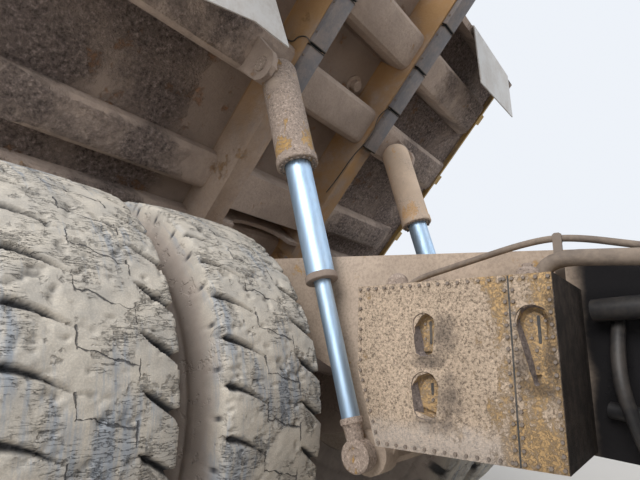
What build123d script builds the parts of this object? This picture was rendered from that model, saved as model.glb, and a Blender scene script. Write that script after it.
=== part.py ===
from build123d import *
from math import cos, pi, radians, sin, tan
import os

os.makedirs("parts", exist_ok=True)

# Rigid mining dump truck with its bed fully raised, in millimetres.
# X points forward, Y to the left and Z up. Lengths along X are first given from the rear axle,
# and the whole truck is then moved by REAR_AXLE_X, which puts the origin on the ground below
# the middle of its bounding box.
REAR_AXLE_X = -1790.0
WHEELBASE = 4560.0
RUN_GAP = 0.3  # between faces that touch on the real truck
PIN_GAP = 0.4  # radial clearance of pins and shafts in their bores
PIN_SIDES = 12

# Tyres and rims are drawn as many-sided rings, one side for each pitch of the shoulder lugs.
TYRE_RADIUS = 1350.0
TYRE_WIDTH = 750.0
TREAD_WIDTH = 716.0
BULGE_RADIUS = 1010.0
SEAT_RADIUS = 620.0
BEAD_WIDTH = 610.0
LUG_COUNT = 34
AXLE_HEIGHT = TYRE_RADIUS * cos(pi / LUG_COUNT)  # a flat side rests on the ground
SLOT_WIDTH = 120.0
SLOT_DEPTH = 62.0
SLOT_LENGTH = 225.0
SLOT_SKEW = 92.0
RIM_LIP = 545.0
RIM_DISH = 250.0
REAR_DISH = 360.0
FRONT_HUB = 500.0
HUB_SIDES = 16
TUBE_SIDES = 8
HOSE_SIDES = 6
HOIST_SIDES = 12

# Rear axle with twin wheels
DUAL_CENTRE_Y = 1870.0
DUAL_SPACING = 970.0
AXLE_TUBE_RADIUS = 255.0
AXLE_TUBE_END = 2080.0
DIFF_RADIUS = 450.0
DIFF_WIDTH = 640.0
FINAL_DRIVE_RADIUS = 330.0
REAR_STRUT = (-560.0, 330.0)
REAR_STRUT_Z = (1480.0, 2240.0)

# Front wheels turn with a knuckle about the axis of their suspension strut.
FRONT_WHEEL_Y = 2085.0
KINGPIN_Y = 1420.0
STRUT_RADIUS = 190.0
STRUT_SEAT = 2 * (STRUT_RADIUS + RUN_GAP)
STRUT_BOTTOM = 1560.0
STRUT_TOP = 2720.0
KNUCKLE_RADIUS = 180.0
KNUCKLE_BOTTOM = 1150.0
SPINDLE_RADIUS = 110.0
SPINDLE_END = 2150.0

# Frame rails: box girders whose top falls gently towards the front
RAIL_INNER_Y = 470.0
RAIL_OUTER_Y = 760.0
RAIL_CROSS_X = -60.0
FRAME_SLOPE = 4.6  # degrees
FRAME_FRONT_X = WHEELBASE + 1520.0
STRUT_ARM_HALF = 190.0
TOWER_HALF = 230.0
TOWER_TOP = 2560.0
PIVOT_X = -500.0
PIVOT_Z = 2482.0
PIVOT_PIN_RADIUS = 60.0
PIVOT_LUG_RADIUS = 135.0
PIVOT_LUG_Y = (570.0, 660.0)
LUG_SIDE_GAP = 6.0
PAD_ABOVE_PIVOT = 8.3  # height of the pads' plane over the pivot, square to it

# Bed, drawn along its own U (forward) and V (up) from the pads' plane over the pivot
BED_RAISED_ANGLE = 48.93  # of the pads' plane to the ground, degrees
BED_TRAVEL = 53.5  # from lowered to raised, degrees
BED_HALF_WIDTH = 2760.0
PLATE = 30.0
FLOOR_V = 460.0
FLOOR_PLATE = 36.0
TAIL_U = -2550.0
FLOOR_FRONT_U = 3450.0
WALL_TOP_U = 4200.0
WALL_PLATE = 60.0
WALL_TOP_V = 2780.0
CANOPY_FRONT_U = 6850.0
CANOPY_FRONT_V = 3060.0
CANOPY_HALF_WIDTH = 3040.0
SIDE_TOP_REAR_U = -1850.0
SIDE_TOP_REAR_V = 1680.0
SIDE_TAIL_V = 980.0
SIDE_TOP_FRONT_V = 2010.0
BED_RAIL_Y = (540.0, 735.0)
BED_RAIL_START_U = 270.0
BED_RAIL_END_U = 4080.0
PAD_Y = 645.0
PAD_WIDTH = 175.0
PAD_LENGTH = 467.0
PAD_START_U = 1722.0
PAD_COUNT = 5
PAD_HEIGHT = 58.0
PAD_LIFT = 6.0
BOLSTER_ROUND = 90.0
BOLSTER_END_SLANT = 400.0
BOLSTERS = (
    # centre U, width, half length at the bottom, V of the bottom
    (170.0, 405.0, 2200.0, 300.0),
    (785.0, 370.0, 2200.0, 300.0),
    (1900.0, 405.0, 2200.0, 105.0),
    (2765.0, 405.0, 2200.0, 105.0),
)
ARCH_U = (430.0, 470.0)
ARCH_HALF = 400.0
ARCH_TOP_V = 270.0
CROSS_BEAM_V = 105.0
SILL_BEAM_U = 60.0
SILL_BEAM_V = 240.0
FLAP_THICKNESS = 12.0
# Outlines of the hanging part of the flaps, as (y, z) from the edge they hang from
FRONT_FLAP = ((1240.0, 0.0), (1370.0, -640.0), (2520.0, -550.0), (2440.0, 0.0))
REAR_FLAP = (
    (-1440.0, 0.0),
    (-1270.0, -390.0),
    (-1100.0, -690.0),
    (-1440.0, -690.0),
    (-1850.0, -800.0),
    (-2180.0, -850.0),
    (-2180.0, 0.0),
)
FLAP_STRIP = 130.0
FLAP_LAP = 10.0
FLAP_STEPS = (12.0, -4.0)  # of the front and rear flaps' hanging parts from their strips' middle
SIDE_RIBS = 6
SIDE_RIB_PITCH = 1000.0
SIDE_RIB_START_U = -2100.0
TOP_RAIL = 110.0
CANOPY_RIB_Y = (-1500.0, 0.0, 1500.0)
CANOPY_RIB_DEPTH = 110.0
WALL_RIB_DEPTH = 200.0

# Hoist: two-stage cylinders, measured along their axis from the centre of the lower eye
HOIST_Y = 932.0
EYE_X = 1520.0
EYE_Z = 1167.0
HOIST_LEAN = 15.92  # rearwards from the vertical, degrees
HOIST_LENGTH = 2746.0
EYE_RADIUS = 90.0
EYE_WIDTH = 100.0
EYE_PIN_RADIUS = 45.0
BRACKET_FACE_Y = 842.0
BRACKET_RADIUS = 120.0
FLANGE_TOP = 202.0
FLANGE_RADIUS = 66.0
ROD_RADIUS = 54.0
STAGE_START = 1030.0
STAGE_RADIUS = 92.5
STAGE_RING_RADIUS = 104.0
RING_LENGTH = 50.0
BARREL_START = 1906.0
BARREL_RADIUS = 141.0
COLLAR_RADIUS = 149.0
COLLAR_LENGTH = 70.0
BARREL_BORE_END = 2800.0
STAGE_END_WALL = 20.0
TRUNNION_RADIUS = 60.0
BORE_GAP = 3.5
GLAND_LENGTH = 40.0
END_GAP = 5.0
STAGE_STROKE = 821.0

# Tanks between the axles
TANK_REAR_X = 1785.0
TANK_FRONT_X = 2669.0
TANK_FACE_Y = 1350.0
TANK_BOTTOM = 1316.0
TANK_TOP = 2038.0
TANK_SLANT = (95.0, 1640.0)  # set-back of the lower rear edge, and the height where it starts
RECESS_DEPTH = 45.0
RECESS_PLATE = 12.0
# Outlines of the recesses in the tank's face, as (x, z) from its lower rear corner
RECESSES = (
    [(300, 395), (440, 395), (465, 440), (465, 520), (430, 570), (385, 590), (335, 570), (300, 520)],
    [(275, 170), (400, 135), (480, 190), (470, 250), (430, 300), (370, 330), (310, 310), (275, 260)],
    [(785, 300), (815, 300), (852, 430), (860, 540), (840, 585), (800, 600), (760, 585), (740, 540), (740, 440)],
)
CAP_Y = 1180.0
CAP_HEIGHT = 70.0
HOSE_RADIUS = 17.0
HOSE_Y = 930.0
HOSE_RUN = ((1830, 2110), (2500, 2262), (2680, 2262), (3200, 2120))
HOSE_BEND = 45.0
PIPE_RADIUS = 38.0
PIPE_Y = 1035.0
PIPE_RUN = ((2560, 2155), (3300, 2090))
PIPE_BEND = 60.0
CLAMP_X = 2620.0
FUEL_FRONT_X = 2950.0
FUEL_FACE_Y = 1420.0
FUEL_BOTTOM = 1060.0

# Deck, hood and cab
DECK_TOP = 3000.0
DECK_PLATE = 70.0
DECK_REAR_X = WHEELBASE - 500.0
DECK_FRONT_X = WHEELBASE + 1760.0
DECK_HALF_WIDTH = 2900.0
BUMPER_DEPTH = 540.0
BUMPER_FRONT_X = FRAME_FRONT_X + BUMPER_DEPTH
BUMPER_WING_DEPTH = 310.0
BUMPER_WING_Y = 1560.0
BUMPER_BOTTOM = 900.0
BUMPER_TOP = 1360.0
LAMP_Y = (1080.0, 1330.0)
LAMP_WIDTH = 190.0
LAMP_HEIGHT = 150.0
LAMP_DEPTH = 40.0
TOW_EYE_X = FRAME_FRONT_X + 350.0
TOW_EYE_Y = 620.0
TOW_EYE_Z = 820.0
TOW_EYE_RADIUS = 38.0
TOW_EYE_WIDTH = 70.0
GRILLE_X = FRAME_FRONT_X + 80.0
GRILLE_DEPTH = 400.0
GRILLE_RIM = 80.0
GRILLE_SLATS = 9
GRILLE_TOP = 2840.0
FRAME_NOTCH_TOP = 1990.0
GRILLE_HALF_WIDTH = 860.0
GRILLE_BOTTOM = 1420.0
CAB_X = (WHEELBASE - 200.0, WHEELBASE + 1180.0)
CAB_Y = (560.0, 2060.0)
CAB_TOP = 4700.0
CAB_WALL = 60.0
DOOR_X = (WHEELBASE, WHEELBASE + 700.0)
SIDE_WINDOW_X = WHEELBASE + 810.0
SILL = 3720.0
WINDOW_TOP = 4520.0
DOOR_TOP = 4590.0
HINGE_Z = (3250.0, 4300.0)
HINGE_HEIGHT = 70.0
HINGE_RADIUS = 18.0
HINGE_OFFSET = 25.0
HINGE_SIDE_GAP = 6.0
RAIL_TUBE = 44.0
RAIL_SIDES = 4
RAIL_TOP = 4020.0
POST_INSET = 60.0
MIRROR_TOP = 4620.0
LADDER_Y = (1720.0, 2264.0)
LADDER_FOOT = 620.0
LADDER_STILE = 24.0
RUNG_COUNT = 6
RUNG_PITCH = 380.0
AIR_CLEANER_X = (DECK_FRONT_X - 850.0, DECK_FRONT_X - 160.0)
AIR_CLEANER_Y = (800.0, 1500.0)
AIR_CLEANER_SIZE = 560.0

NODES = {}


def block(x0, x1, y0, y1, z0, z1):
    """Box between two corners."""
    low = (Align.MIN, Align.MIN, Align.MIN)
    return Pos(x0, y0, z0) * Box(x1 - x0, y1 - y0, z1 - z0, align=low)


def side_prism(points, y0, y1):
    """Solid between two Y planes, with an outline of (x, z) points."""
    outline = Polyline(*[(x, y0, z) for x, z in points], close=True)
    return extrude(make_face(outline), amount=y1 - y0, dir=(0, 1, 0))


def front_prism(points, x0, x1):
    """Solid between two X planes, with an outline of (y, z) points."""
    outline = Polyline(*[(x0, y, z) for y, z in points], close=True)
    return extrude(make_face(outline), amount=x1 - x0, dir=(1, 0, 0))


def bar(start, end, radius):
    """Round bar from one point to another."""
    axis = Vector(*end) - Vector(*start)
    up = (Align.CENTER, Align.CENTER, Align.MIN)
    return Plane(origin=start, z_dir=axis) * Cylinder(radius, axis.length, align=up)


def tube_bar(start, end, size, sides=6):
    """Many-sided bar from one point to another, as wide as size over its flats."""
    axis = Vector(*end) - Vector(*start)
    flat_up = RegularPolygon(size / 2, sides, major_radius=False, rotation=180 / sides)
    face = Plane(origin=start, z_dir=axis) * flat_up
    return extrude(face, amount=axis.length, dir=axis.normalized())


def pin(start, end, radius):
    """Many-sided pin with its corners on the radius."""
    return tube_bar(start, end, 2 * radius * cos(pi / PIN_SIDES), PIN_SIDES)


def pin_bore(start, end, radius):
    """Hole in which a pin of that radius turns."""
    return tube_bar(start, end, 2 * (radius + PIN_GAP), PIN_SIDES)


def both_sides(shape):
    """The shape with its mirror image across the truck's middle plane."""
    return shape + mirror(shape, about=Plane.XZ)


def left_and_right(shape):
    """The left and the right copy of a shape drawn on the left."""
    return {"left": shape, "right": mirror(shape, about=Plane.XZ)}


def bed_plane():
    """Place of the bed's U and V axes with the bed raised."""
    x, z = raised(0, 0)
    return Location((x, 0, z), (0, -BED_RAISED_ANGLE, 0))


def frame_top(x):
    """Height of the rails' top, on which the pads lie with the bed lowered."""
    slope = radians(FRAME_SLOPE)
    return PIVOT_Z + PAD_ABOVE_PIVOT / cos(slope) - (x - PIVOT_X) * tan(slope)


def hoist_point(along, y=HOIST_Y):
    """Point on the left hoist cylinder's axis."""
    lean = radians(HOIST_LEAN)
    return (EYE_X - along * sin(lean), y, EYE_Z + along * cos(lean))


# Wheels
def ring_section(y, apothem):
    """Many-sided section of a wheel, square to its axis."""
    plane = Plane(origin=(0, y, 0), x_dir=(1, 0, 0), z_dir=(0, 1, 0))
    return plane * RegularPolygon(apothem, LUG_COUNT, major_radius=False)


def ring(y0, y1, apothem):
    """Many-sided disc between two planes square to the wheel's axis."""
    return extrude(ring_section(y0, apothem), amount=y1 - y0, dir=(0, 1, 0))


def dish(y0, y1):
    """Recess inside a rim's lip."""
    return tube_bar((0, y0, 0), (0, y1, 0), 2 * RIM_LIP, HUB_SIDES)


def tyre():
    """Rock tyre about the Y axis: one pitch with its two slanted slots, repeated all round."""
    half, tread, bead = TYRE_WIDTH / 2, TREAD_WIDTH / 2, BEAD_WIDTH / 2
    crown = AXLE_HEIGHT
    corners = ((tread, crown), (half, BULGE_RADIUS), (bead, SEAT_RADIUS))
    outline = [*corners, *[(-y, r) for y, r in reversed(corners)]]
    half_pitch = crown * tan(pi / LUG_COUNT)
    pitch = front_prism(outline, -half_pitch - 10, half_pitch + 10)
    wedge = [(0, 0), (half_pitch, crown), (half_pitch, crown + 10), (-half_pitch, crown + 10), (-half_pitch, crown)]
    pitch &= side_prism(wedge, -half, half)
    above = SLOT_DEPTH
    spread = SLOT_WIDTH / 2 * (SLOT_DEPTH + above) / SLOT_DEPTH
    x = -SLOT_SKEW / 2
    notch = [(x - spread, crown + above), (x + spread, crown + above), (x, crown - SLOT_DEPTH)]
    face = make_face(Polyline(*[(px, tread, pz) for px, pz in notch], close=True))
    run = Vector(SLOT_SKEW, -SLOT_LENGTH, SLOT_DEPTH)
    slot = extrude(Pos(*(run * -0.15)) * face, amount=run.length * 1.3, dir=run.normalized())
    pitch -= [slot, Rot(0, 0, 180) * slot]
    turns = [Rot(0, i * 360 / LUG_COUNT, 0) * pitch for i in range(LUG_COUNT)]
    return turns[0].fuse(*turns[1:])


def front_rim():
    """Front rim about the Y axis, dished on both sides, with a bore for the spindle."""
    half = BEAD_WIDTH / 2
    body = ring(-half, half, SEAT_RADIUS - RUN_GAP)
    body -= dish(half - RIM_DISH, half + 1)
    body -= dish(-half - 1, -half + RIM_DISH)
    body += tube_bar((0, half - RIM_DISH - 10, 0), (0, half - 40, 0), FRONT_HUB, HUB_SIDES)
    depth = SPINDLE_END - FRONT_WHEEL_Y
    return body - pin_bore((0, -half - 1, 0), (0, depth + PIN_GAP, 0), SPINDLE_RADIUS)


def rear_rim():
    """Rim drum of the left twin wheels about the Y axis, with its final drive on the outer side."""
    half, reach = BEAD_WIDTH / 2, DUAL_SPACING / 2
    body = dish(-reach, reach)
    for centre in (-reach, reach):
        body += ring(centre - half, centre + half, SEAT_RADIUS - RUN_GAP)
    outer = reach + half
    body -= dish(outer - REAR_DISH, outer + 1)
    body += tube_bar((0, outer - REAR_DISH - 10, 0), (0, outer - 60, 0), 2 * FINAL_DRIVE_RADIUS, HUB_SIDES)
    inner = -reach - half
    end = AXLE_TUBE_END - DUAL_CENTRE_Y + PIN_GAP
    return body - tube_bar((0, inner - 1, 0), (0, end, 0), 2 * (AXLE_TUBE_RADIUS + PIN_GAP), HUB_SIDES)


def wheels():
    """All tyres and rims at their places."""
    one = tyre()
    front = Location((WHEELBASE, FRONT_WHEEL_Y, AXLE_HEIGHT))
    inner = Location((0, DUAL_CENTRE_Y - DUAL_SPACING / 2, AXLE_HEIGHT))
    outer = Location((0, DUAL_CENTRE_Y + DUAL_SPACING / 2, AXLE_HEIGHT))
    rear = Location((0, DUAL_CENTRE_Y, AXLE_HEIGHT))
    parts = {
        "tyre_front": front * one,
        "rim_front": front * front_rim(),
        "tyres_rear": Compound([inner * one, outer * one]),
        "rims_rear": rear * rear_rim(),
    }
    for name, shape in parts.items():
        for side, copy in left_and_right(shape).items():
            NODES[f"{name}_{side}"] = copy


# Chassis
def frame():
    """Rails, cross tubes, strut brackets, pivot cheeks and hoist brackets, welded in one."""
    top_line = [(x, frame_top(x)) for x in (-280.0, 3700.0)]
    outline = [
        *top_line,
        (DECK_REAR_X + 90, 2060),
        (FRAME_FRONT_X, 1960),
        (FRAME_FRONT_X, 1330),
        (3200, 1250),
        (2300, 1330),
        (1500, 1480),
        (620, 1900),
        (-280, 1960),
    ]
    rail = side_prism(outline, RAIL_INNER_Y, RAIL_OUTER_Y)
    cheek = [
        (-280, frame_top(-280)),
        (PIVOT_X, PIVOT_Z + PIVOT_LUG_RADIUS),
        (PIVOT_X - PIVOT_LUG_RADIUS, PIVOT_Z + 40),
        (PIVOT_X - PIVOT_LUG_RADIUS, PIVOT_Z - 60),
        (-280, 1960),
    ]
    low, high = PIVOT_LUG_Y
    rail += side_prism(cheek, RAIL_INNER_Y, low - LUG_SIDE_GAP)
    rail += side_prism(cheek, high + LUG_SIDE_GAP, RAIL_OUTER_Y)
    rail -= block(-520, -250, low - LUG_SIDE_GAP, high + LUG_SIDE_GAP, 1800, 2800)
    rail += pin((PIVOT_X, low - LUG_SIDE_GAP, PIVOT_Z), (PIVOT_X, high + LUG_SIDE_GAP, PIVOT_Z), PIVOT_PIN_RADIUS)
    hanger = [
        (EYE_X - 230, 1580),
        (EYE_X + 250, 1480),
        (EYE_X + BRACKET_RADIUS, EYE_Z),
        (EYE_X - BRACKET_RADIUS, EYE_Z),
    ]
    rail += side_prism(hanger, RAIL_OUTER_Y - 60, RAIL_OUTER_Y)
    eye = (EYE_X, RAIL_OUTER_Y - 60, EYE_Z), (EYE_X, BRACKET_FACE_Y, EYE_Z)
    rail += tube_bar(*eye, 2 * BRACKET_RADIUS, HUB_SIDES)
    x, y = REAR_STRUT
    rail += block(x - 90, RAIL_CROSS_X, y - 90, y + 90, REAR_STRUT_Z[1], REAR_STRUT_Z[1] + 100)
    rail += strut_bracket(1640, 1900) + strut_bracket(2330, 2560)
    tower = WHEELBASE - TOWER_HALF, WHEELBASE + TOWER_HALF
    rail += block(*tower, RAIL_INNER_Y, RAIL_OUTER_Y, 1900, TOWER_TOP)
    whole = both_sides(rail)
    inner = RAIL_INNER_Y + 50
    for x, z, radius in (
        # cross tubes
        (RAIL_CROSS_X, 2230, 130),
        (1050, 1950, 120),
        (3350, 1650, 130),
        (FRAME_FRONT_X - 200, 1640, 150),
    ):
        whole += tube_bar((x, -inner, z), (x, inner, z), 2 * radius, TUBE_SIDES)
    whole += tube_bar((EYE_X, -RAIL_OUTER_Y, EYE_Z), (EYE_X, RAIL_OUTER_Y, EYE_Z), 170, TUBE_SIDES)
    return whole


def strut_bracket(z0, z1):
    """Arm from the left rail to the strut, cut out round it."""
    ends = WHEELBASE - STRUT_ARM_HALF, WHEELBASE + STRUT_ARM_HALF
    arm = block(*ends, RAIL_OUTER_Y - 20, KINGPIN_Y - 40, z0, z1)
    return arm - tube_bar((WHEELBASE, KINGPIN_Y, z0 - 1), (WHEELBASE, KINGPIN_Y, z1 + 1), STRUT_SEAT, HUB_SIDES)


def running_gear():
    """Axle housing, struts and knuckles."""
    half = DIFF_WIDTH / 2
    housing = tube_bar((0, -half, AXLE_HEIGHT), (0, half, AXLE_HEIGHT), 2 * DIFF_RADIUS, HUB_SIDES)
    tube_width = 2 * AXLE_TUBE_RADIUS * cos(pi / HUB_SIDES)
    housing += tube_bar((0, -AXLE_TUBE_END, AXLE_HEIGHT), (0, AXLE_TUBE_END, AXLE_HEIGHT), tube_width, HUB_SIDES)
    nose = [(0, 1000), (1150, 1180), (1150, 1480), (0, 1700)]
    housing += side_prism(nose, -240, 240)
    x, y = REAR_STRUT
    z0, z1 = REAR_STRUT_Z
    housing += both_sides(block(x - 130, -300, y - 90, y + 90, z0 - 100, z0))
    strut = tube_bar((x, y, z0 + RUN_GAP), (x, y, z1 - RUN_GAP), 210, TUBE_SIDES)
    NODES["rear_axle_housing"] = housing
    NODES["rear_struts"] = Compound(list(left_and_right(strut).values()))
    centre = WHEELBASE, KINGPIN_Y
    cup = tube_bar((*centre, STRUT_BOTTOM), (*centre, STRUT_TOP), 2 * STRUT_RADIUS, HUB_SIDES)
    NODES["front_strut_housings"] = Compound(list(left_and_right(cup).values()))
    knuckle = tube_bar((*centre, KNUCKLE_BOTTOM), (*centre, STRUT_BOTTOM - RUN_GAP), 2 * KNUCKLE_RADIUS, TUBE_SIDES)
    end = (WHEELBASE, SPINDLE_END, AXLE_HEIGHT)
    knuckle += pin((WHEELBASE, KINGPIN_Y + KNUCKLE_RADIUS - 1, AXLE_HEIGHT), end, SPINDLE_RADIUS)
    knuckle += block(WHEELBASE - 560, WHEELBASE, KINGPIN_Y - 230, KINGPIN_Y - 110, 1170, 1250)
    for side, shape in left_and_right(knuckle).items():
        NODES[f"knuckle_{side}"] = shape


def drivetrain():
    """Engine and transmission as plain blocks at their real places."""
    reach = RAIL_INNER_Y - RUN_GAP
    rear, front = WHEELBASE - 560, WHEELBASE + 1140
    engine = block(rear, front, -420, 420, 1500, 2700) + block(rear + 300, rear + 900, -reach, reach, 1560, 1900)
    gearbox = block(1250, 2700, -380, 380, 1400, 1840) + block(1500, 2300, -reach, reach, 1560, 1760)
    NODES["drivetrain"] = Compound([engine, gearbox])


def tanks():
    """Hydraulic tank with its recesses, hose and pipe on the right, and fuel tank on the left."""
    set_back, slant_top = TANK_SLANT
    outline = [
        (TANK_REAR_X, TANK_TOP),
        (TANK_FRONT_X, TANK_TOP),
        (TANK_FRONT_X, TANK_BOTTOM),
        (TANK_REAR_X + set_back, TANK_BOTTOM),
        (TANK_REAR_X, slant_top),
    ]
    inner = RAIL_OUTER_Y + RUN_GAP
    tank = side_prism(outline, -TANK_FACE_Y, -inner)
    for recess in RECESSES:
        points = [(TANK_REAR_X + x, TANK_BOTTOM + z) for x, z in recess]
        tank -= side_prism(points, -TANK_FACE_Y - 1, -TANK_FACE_Y + RECESS_DEPTH)
        x, z = (sum(c) / len(points) for c in zip(*points))
        plate = [(x + (px - x) * 0.7, z + (pz - z) * 0.8) for px, pz in points]
        tank += side_prism(plate, -TANK_FACE_Y + RECESS_DEPTH - RECESS_PLATE, -TANK_FACE_Y + RECESS_DEPTH + 1)
    NODES["hydraulic_tank"] = tank
    fuel = block(TANK_REAR_X, FUEL_FRONT_X, inner, FUEL_FACE_Y, FUEL_BOTTOM, TANK_TOP)
    NODES["fuel_tank"] = chamfer(fuel.edges().filter_by(Axis.X), 130)
    seat = TANK_TOP + RUN_GAP
    caps = [(TANK_REAR_X + 130, 60), (TANK_FRONT_X - 130, 55)]
    domes = [tube_bar((x, -CAP_Y, seat), (x, -CAP_Y, seat + CAP_HEIGHT), 2 * r, HUB_SIDES) for x, r in caps]
    NODES["tank_caps"] = Compound(domes)
    hose = line_to_rail(HOSE_RUN, HOSE_Y, HOSE_RADIUS, HOSE_BEND)
    pipe = line_to_rail(PIPE_RUN, PIPE_Y, PIPE_RADIUS, PIPE_BEND)
    clamp_top = HOSE_RUN[2][1] - HOSE_RADIUS - RUN_GAP
    clamp = block(CLAMP_X - 15, CLAMP_X + 15, -HOSE_Y - 25, -HOSE_Y + 25, seat, clamp_top)
    NODES["tank_hoses"] = Compound([hose, pipe, clamp])


def line_to_rail(run, y, radius, bend):
    """Hose or pipe that rises from the tank's top, runs forward and turns into the right rail."""
    points = [(run[0][0], -y, TANK_TOP + RUN_GAP), *[(x, -y, z) for x, z in run]]
    points.append((run[-1][0], -RAIL_OUTER_Y - RUN_GAP, run[-1][1]))
    path = FilletPolyline(*points, radius=bend)
    section = Plane(origin=points[0], z_dir=(0, 0, 1)) * RegularPolygon(radius, HOSE_SIDES)
    return sweep(section, path=path)


# Front end
def front_end():
    """Bumper, grille, deck with hood, rails, ladders and lamps."""
    half = GRILLE_HALF_WIDTH
    bumper = block(FRAME_FRONT_X + RUN_GAP, BUMPER_FRONT_X, -half, half, BUMPER_BOTTOM, BUMPER_TOP)
    wing = BUMPER_FRONT_X - BUMPER_WING_DEPTH
    bumper += block(wing, BUMPER_FRONT_X, -BUMPER_WING_Y, BUMPER_WING_Y, BUMPER_BOTTOM, BUMPER_TOP)
    bumper = chamfer(bumper.edges().filter_by(Axis.Y).group_by(Axis.X)[-1], 60)
    NODES["bumper"] = bumper + both_sides(tow_eye())
    low = BUMPER_BOTTOM + LAMP_WIDTH - LAMP_DEPTH
    face = BUMPER_FRONT_X + RUN_GAP
    lamps = [
        block(face, face + LAMP_DEPTH, y - LAMP_WIDTH / 2, y + LAMP_WIDTH / 2, low, low + LAMP_HEIGHT) for y in LAMP_Y
    ]
    pair = [left_and_right(lamp) for lamp in lamps]
    NODES["headlamps"] = Compound([s for p in pair for s in p.values()])
    NODES["radiator_grille"] = grille()
    under = DECK_TOP - DECK_PLATE
    deck = block(DECK_REAR_X, DECK_FRONT_X, -DECK_HALF_WIDTH, DECK_HALF_WIDTH, under, DECK_TOP)
    foot = TOWER_TOP + RUN_GAP
    post = block(WHEELBASE - 200, WHEELBASE - 80, 620, 740, foot, under)
    post += block(WHEELBASE + 80, WHEELBASE + 200, 620, 740, foot, under)
    brace = [(700, foot), (760, foot), (1750, under), (1560, under)]
    NODES["deck"] = deck + both_sides(post + front_prism(brace, WHEELBASE - 80, WHEELBASE + 80))
    NODES["handrails"] = handrails()
    NODES["ladders"] = Compound(list(left_and_right(ladder()).values()))
    x0, x1 = AIR_CLEANER_X
    cans = []
    for y in AIR_CLEANER_Y:
        centre = DECK_TOP + AIR_CLEANER_SIZE / 2 + 50
        can = tube_bar((x0, -y, centre), (x1, -y, centre), AIR_CLEANER_SIZE, HUB_SIDES)
        can += tube_bar((x1, -y, centre), (x1 + 30, -y, centre), AIR_CLEANER_SIZE - 120, HUB_SIDES)
        cans.append(can + block(x0 + 100, x1 - 100, -y - 200, -y + 200, DECK_TOP + RUN_GAP, DECK_TOP + 200))
    NODES["air_cleaners"] = Compound(cans)


def grille():
    """Radiator surround with its slats, notched over the frame's front."""
    half, rim = GRILLE_HALF_WIDTH, GRILLE_RIM
    rear = GRILLE_X - GRILLE_DEPTH
    surround = block(rear, GRILLE_X, -half, half, GRILLE_BOTTOM, DECK_TOP - DECK_PLATE - RUN_GAP)
    low = GRILLE_BOTTOM + rim
    surround -= block(GRILLE_X - rim, GRILLE_X + 1, -half + rim, half - rim, low, GRILLE_TOP)
    rise = (GRILLE_TOP - low) / GRILLE_SLATS
    for i in range(1, GRILLE_SLATS):
        z = low + i * rise
        surround += block(GRILLE_X - rim, GRILLE_X - 30, -half + rim - 1, half - rim + 1, z - 18, z + 18)
    reach = RAIL_OUTER_Y + 2
    return surround - block(rear - 1, FRAME_FRONT_X + 2, -reach, reach, GRILLE_BOTTOM - 1, FRAME_NOTCH_TOP)


def tow_eye():
    """Left tow eye below the bumper, bored for a drawbar's pin."""
    y0, y1 = TOW_EYE_Y - TOW_EYE_WIDTH / 2, TOW_EYE_Y + TOW_EYE_WIDTH / 2
    reach = 2 * TOW_EYE_RADIUS
    x, z, cut = TOW_EYE_X, TOW_EYE_Z, reach * tan(pi / 8)
    top = BUMPER_BOTTOM + 20
    outline = [(x - reach, top), (x - reach, z - cut), (x - cut, z - reach), (x + cut, z - reach)]
    eye = side_prism([*outline, (x + reach, z - cut), (x + reach, top)], y0, y1)
    return eye - bar((TOW_EYE_X, y0 - 1, TOW_EYE_Z), (TOW_EYE_X, y1 + 1, TOW_EYE_Z), TOW_EYE_RADIUS)


def handrails():
    """Guard rail along the deck's outer and front edges, with the mirrors on its corners."""
    edge, front = DECK_HALF_WIDTH - POST_INSET, DECK_FRONT_X - POST_INSET
    corners = [(DECK_REAR_X + 80, edge), (front, edge), (front, LADDER_Y[1] + 66)]
    middle = [(front, LADDER_Y[0] - 70), (front, 0)]
    rails = None
    for run in (corners, middle):
        for z in (RAIL_TOP, (RAIL_TOP + DECK_TOP) / 2):
            for a, b in zip(run, run[1:]):
                piece = tube_bar((*a, z), (*b, z), RAIL_TUBE, RAIL_SIDES)
                rails = piece if rails is None else rails + piece
        for x, y in run:
            if y:
                rails += tube_bar((x, y, DECK_TOP + RUN_GAP), (x, y, RAIL_TOP + RAIL_TUBE / 2), RAIL_TUBE, RAIL_SIDES)
    rails += tube_bar((front, edge, RAIL_TOP), (front, edge, MIRROR_TOP), RAIL_TUBE, RAIL_SIDES)
    rails += block(front - 25, front + 35, edge - 300, edge + 20, MIRROR_TOP - 480, MIRROR_TOP - 20)
    return both_sides(rails)


def ladder():
    """Left access ladder in front of the tyre."""
    top, foot = DECK_TOP + 20, BUMPER_FRONT_X
    under = DECK_TOP - 30
    face = DECK_FRONT_X + RUN_GAP
    outline = [(foot - 70, LADDER_FOOT), (foot, LADDER_FOOT), (face + 80, top), (face, top), (face, under)]
    low, high = LADDER_Y
    sides = side_prism(outline, low, low + LADDER_STILE) + side_prism(outline, high - LADDER_STILE, high)
    lean = (foot - 70 - face) / (under - LADDER_FOOT)
    for i in range(RUNG_COUNT):
        z = LADDER_FOOT + 60 + i * RUNG_PITCH
        x = foot - 45 - (z - LADDER_FOOT) * lean
        sides += block(x - 50, x + 40, low + LADDER_STILE - 1, high - LADDER_STILE + 1, z, z + 30)
    return sides


# Cab
def cab_mirror(shape):
    """Mirror image across the cab's own middle plane."""
    return mirror(shape, about=Plane.XZ.offset(-sum(CAB_Y) / 2))


def hinge_half(x0, x1, face_y, z):
    """Strap and knuckle of one half of a door hinge, on the cab's left face."""
    axis_y = face_y + HINGE_OFFSET
    knuckle = tube_bar((DOOR_X[0], axis_y, z), (DOOR_X[0], axis_y, z + HINGE_HEIGHT), 2 * HINGE_RADIUS, TUBE_SIDES)
    return knuckle + block(x0, x1, face_y, axis_y + 5, z, z + HINGE_HEIGHT)


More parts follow.
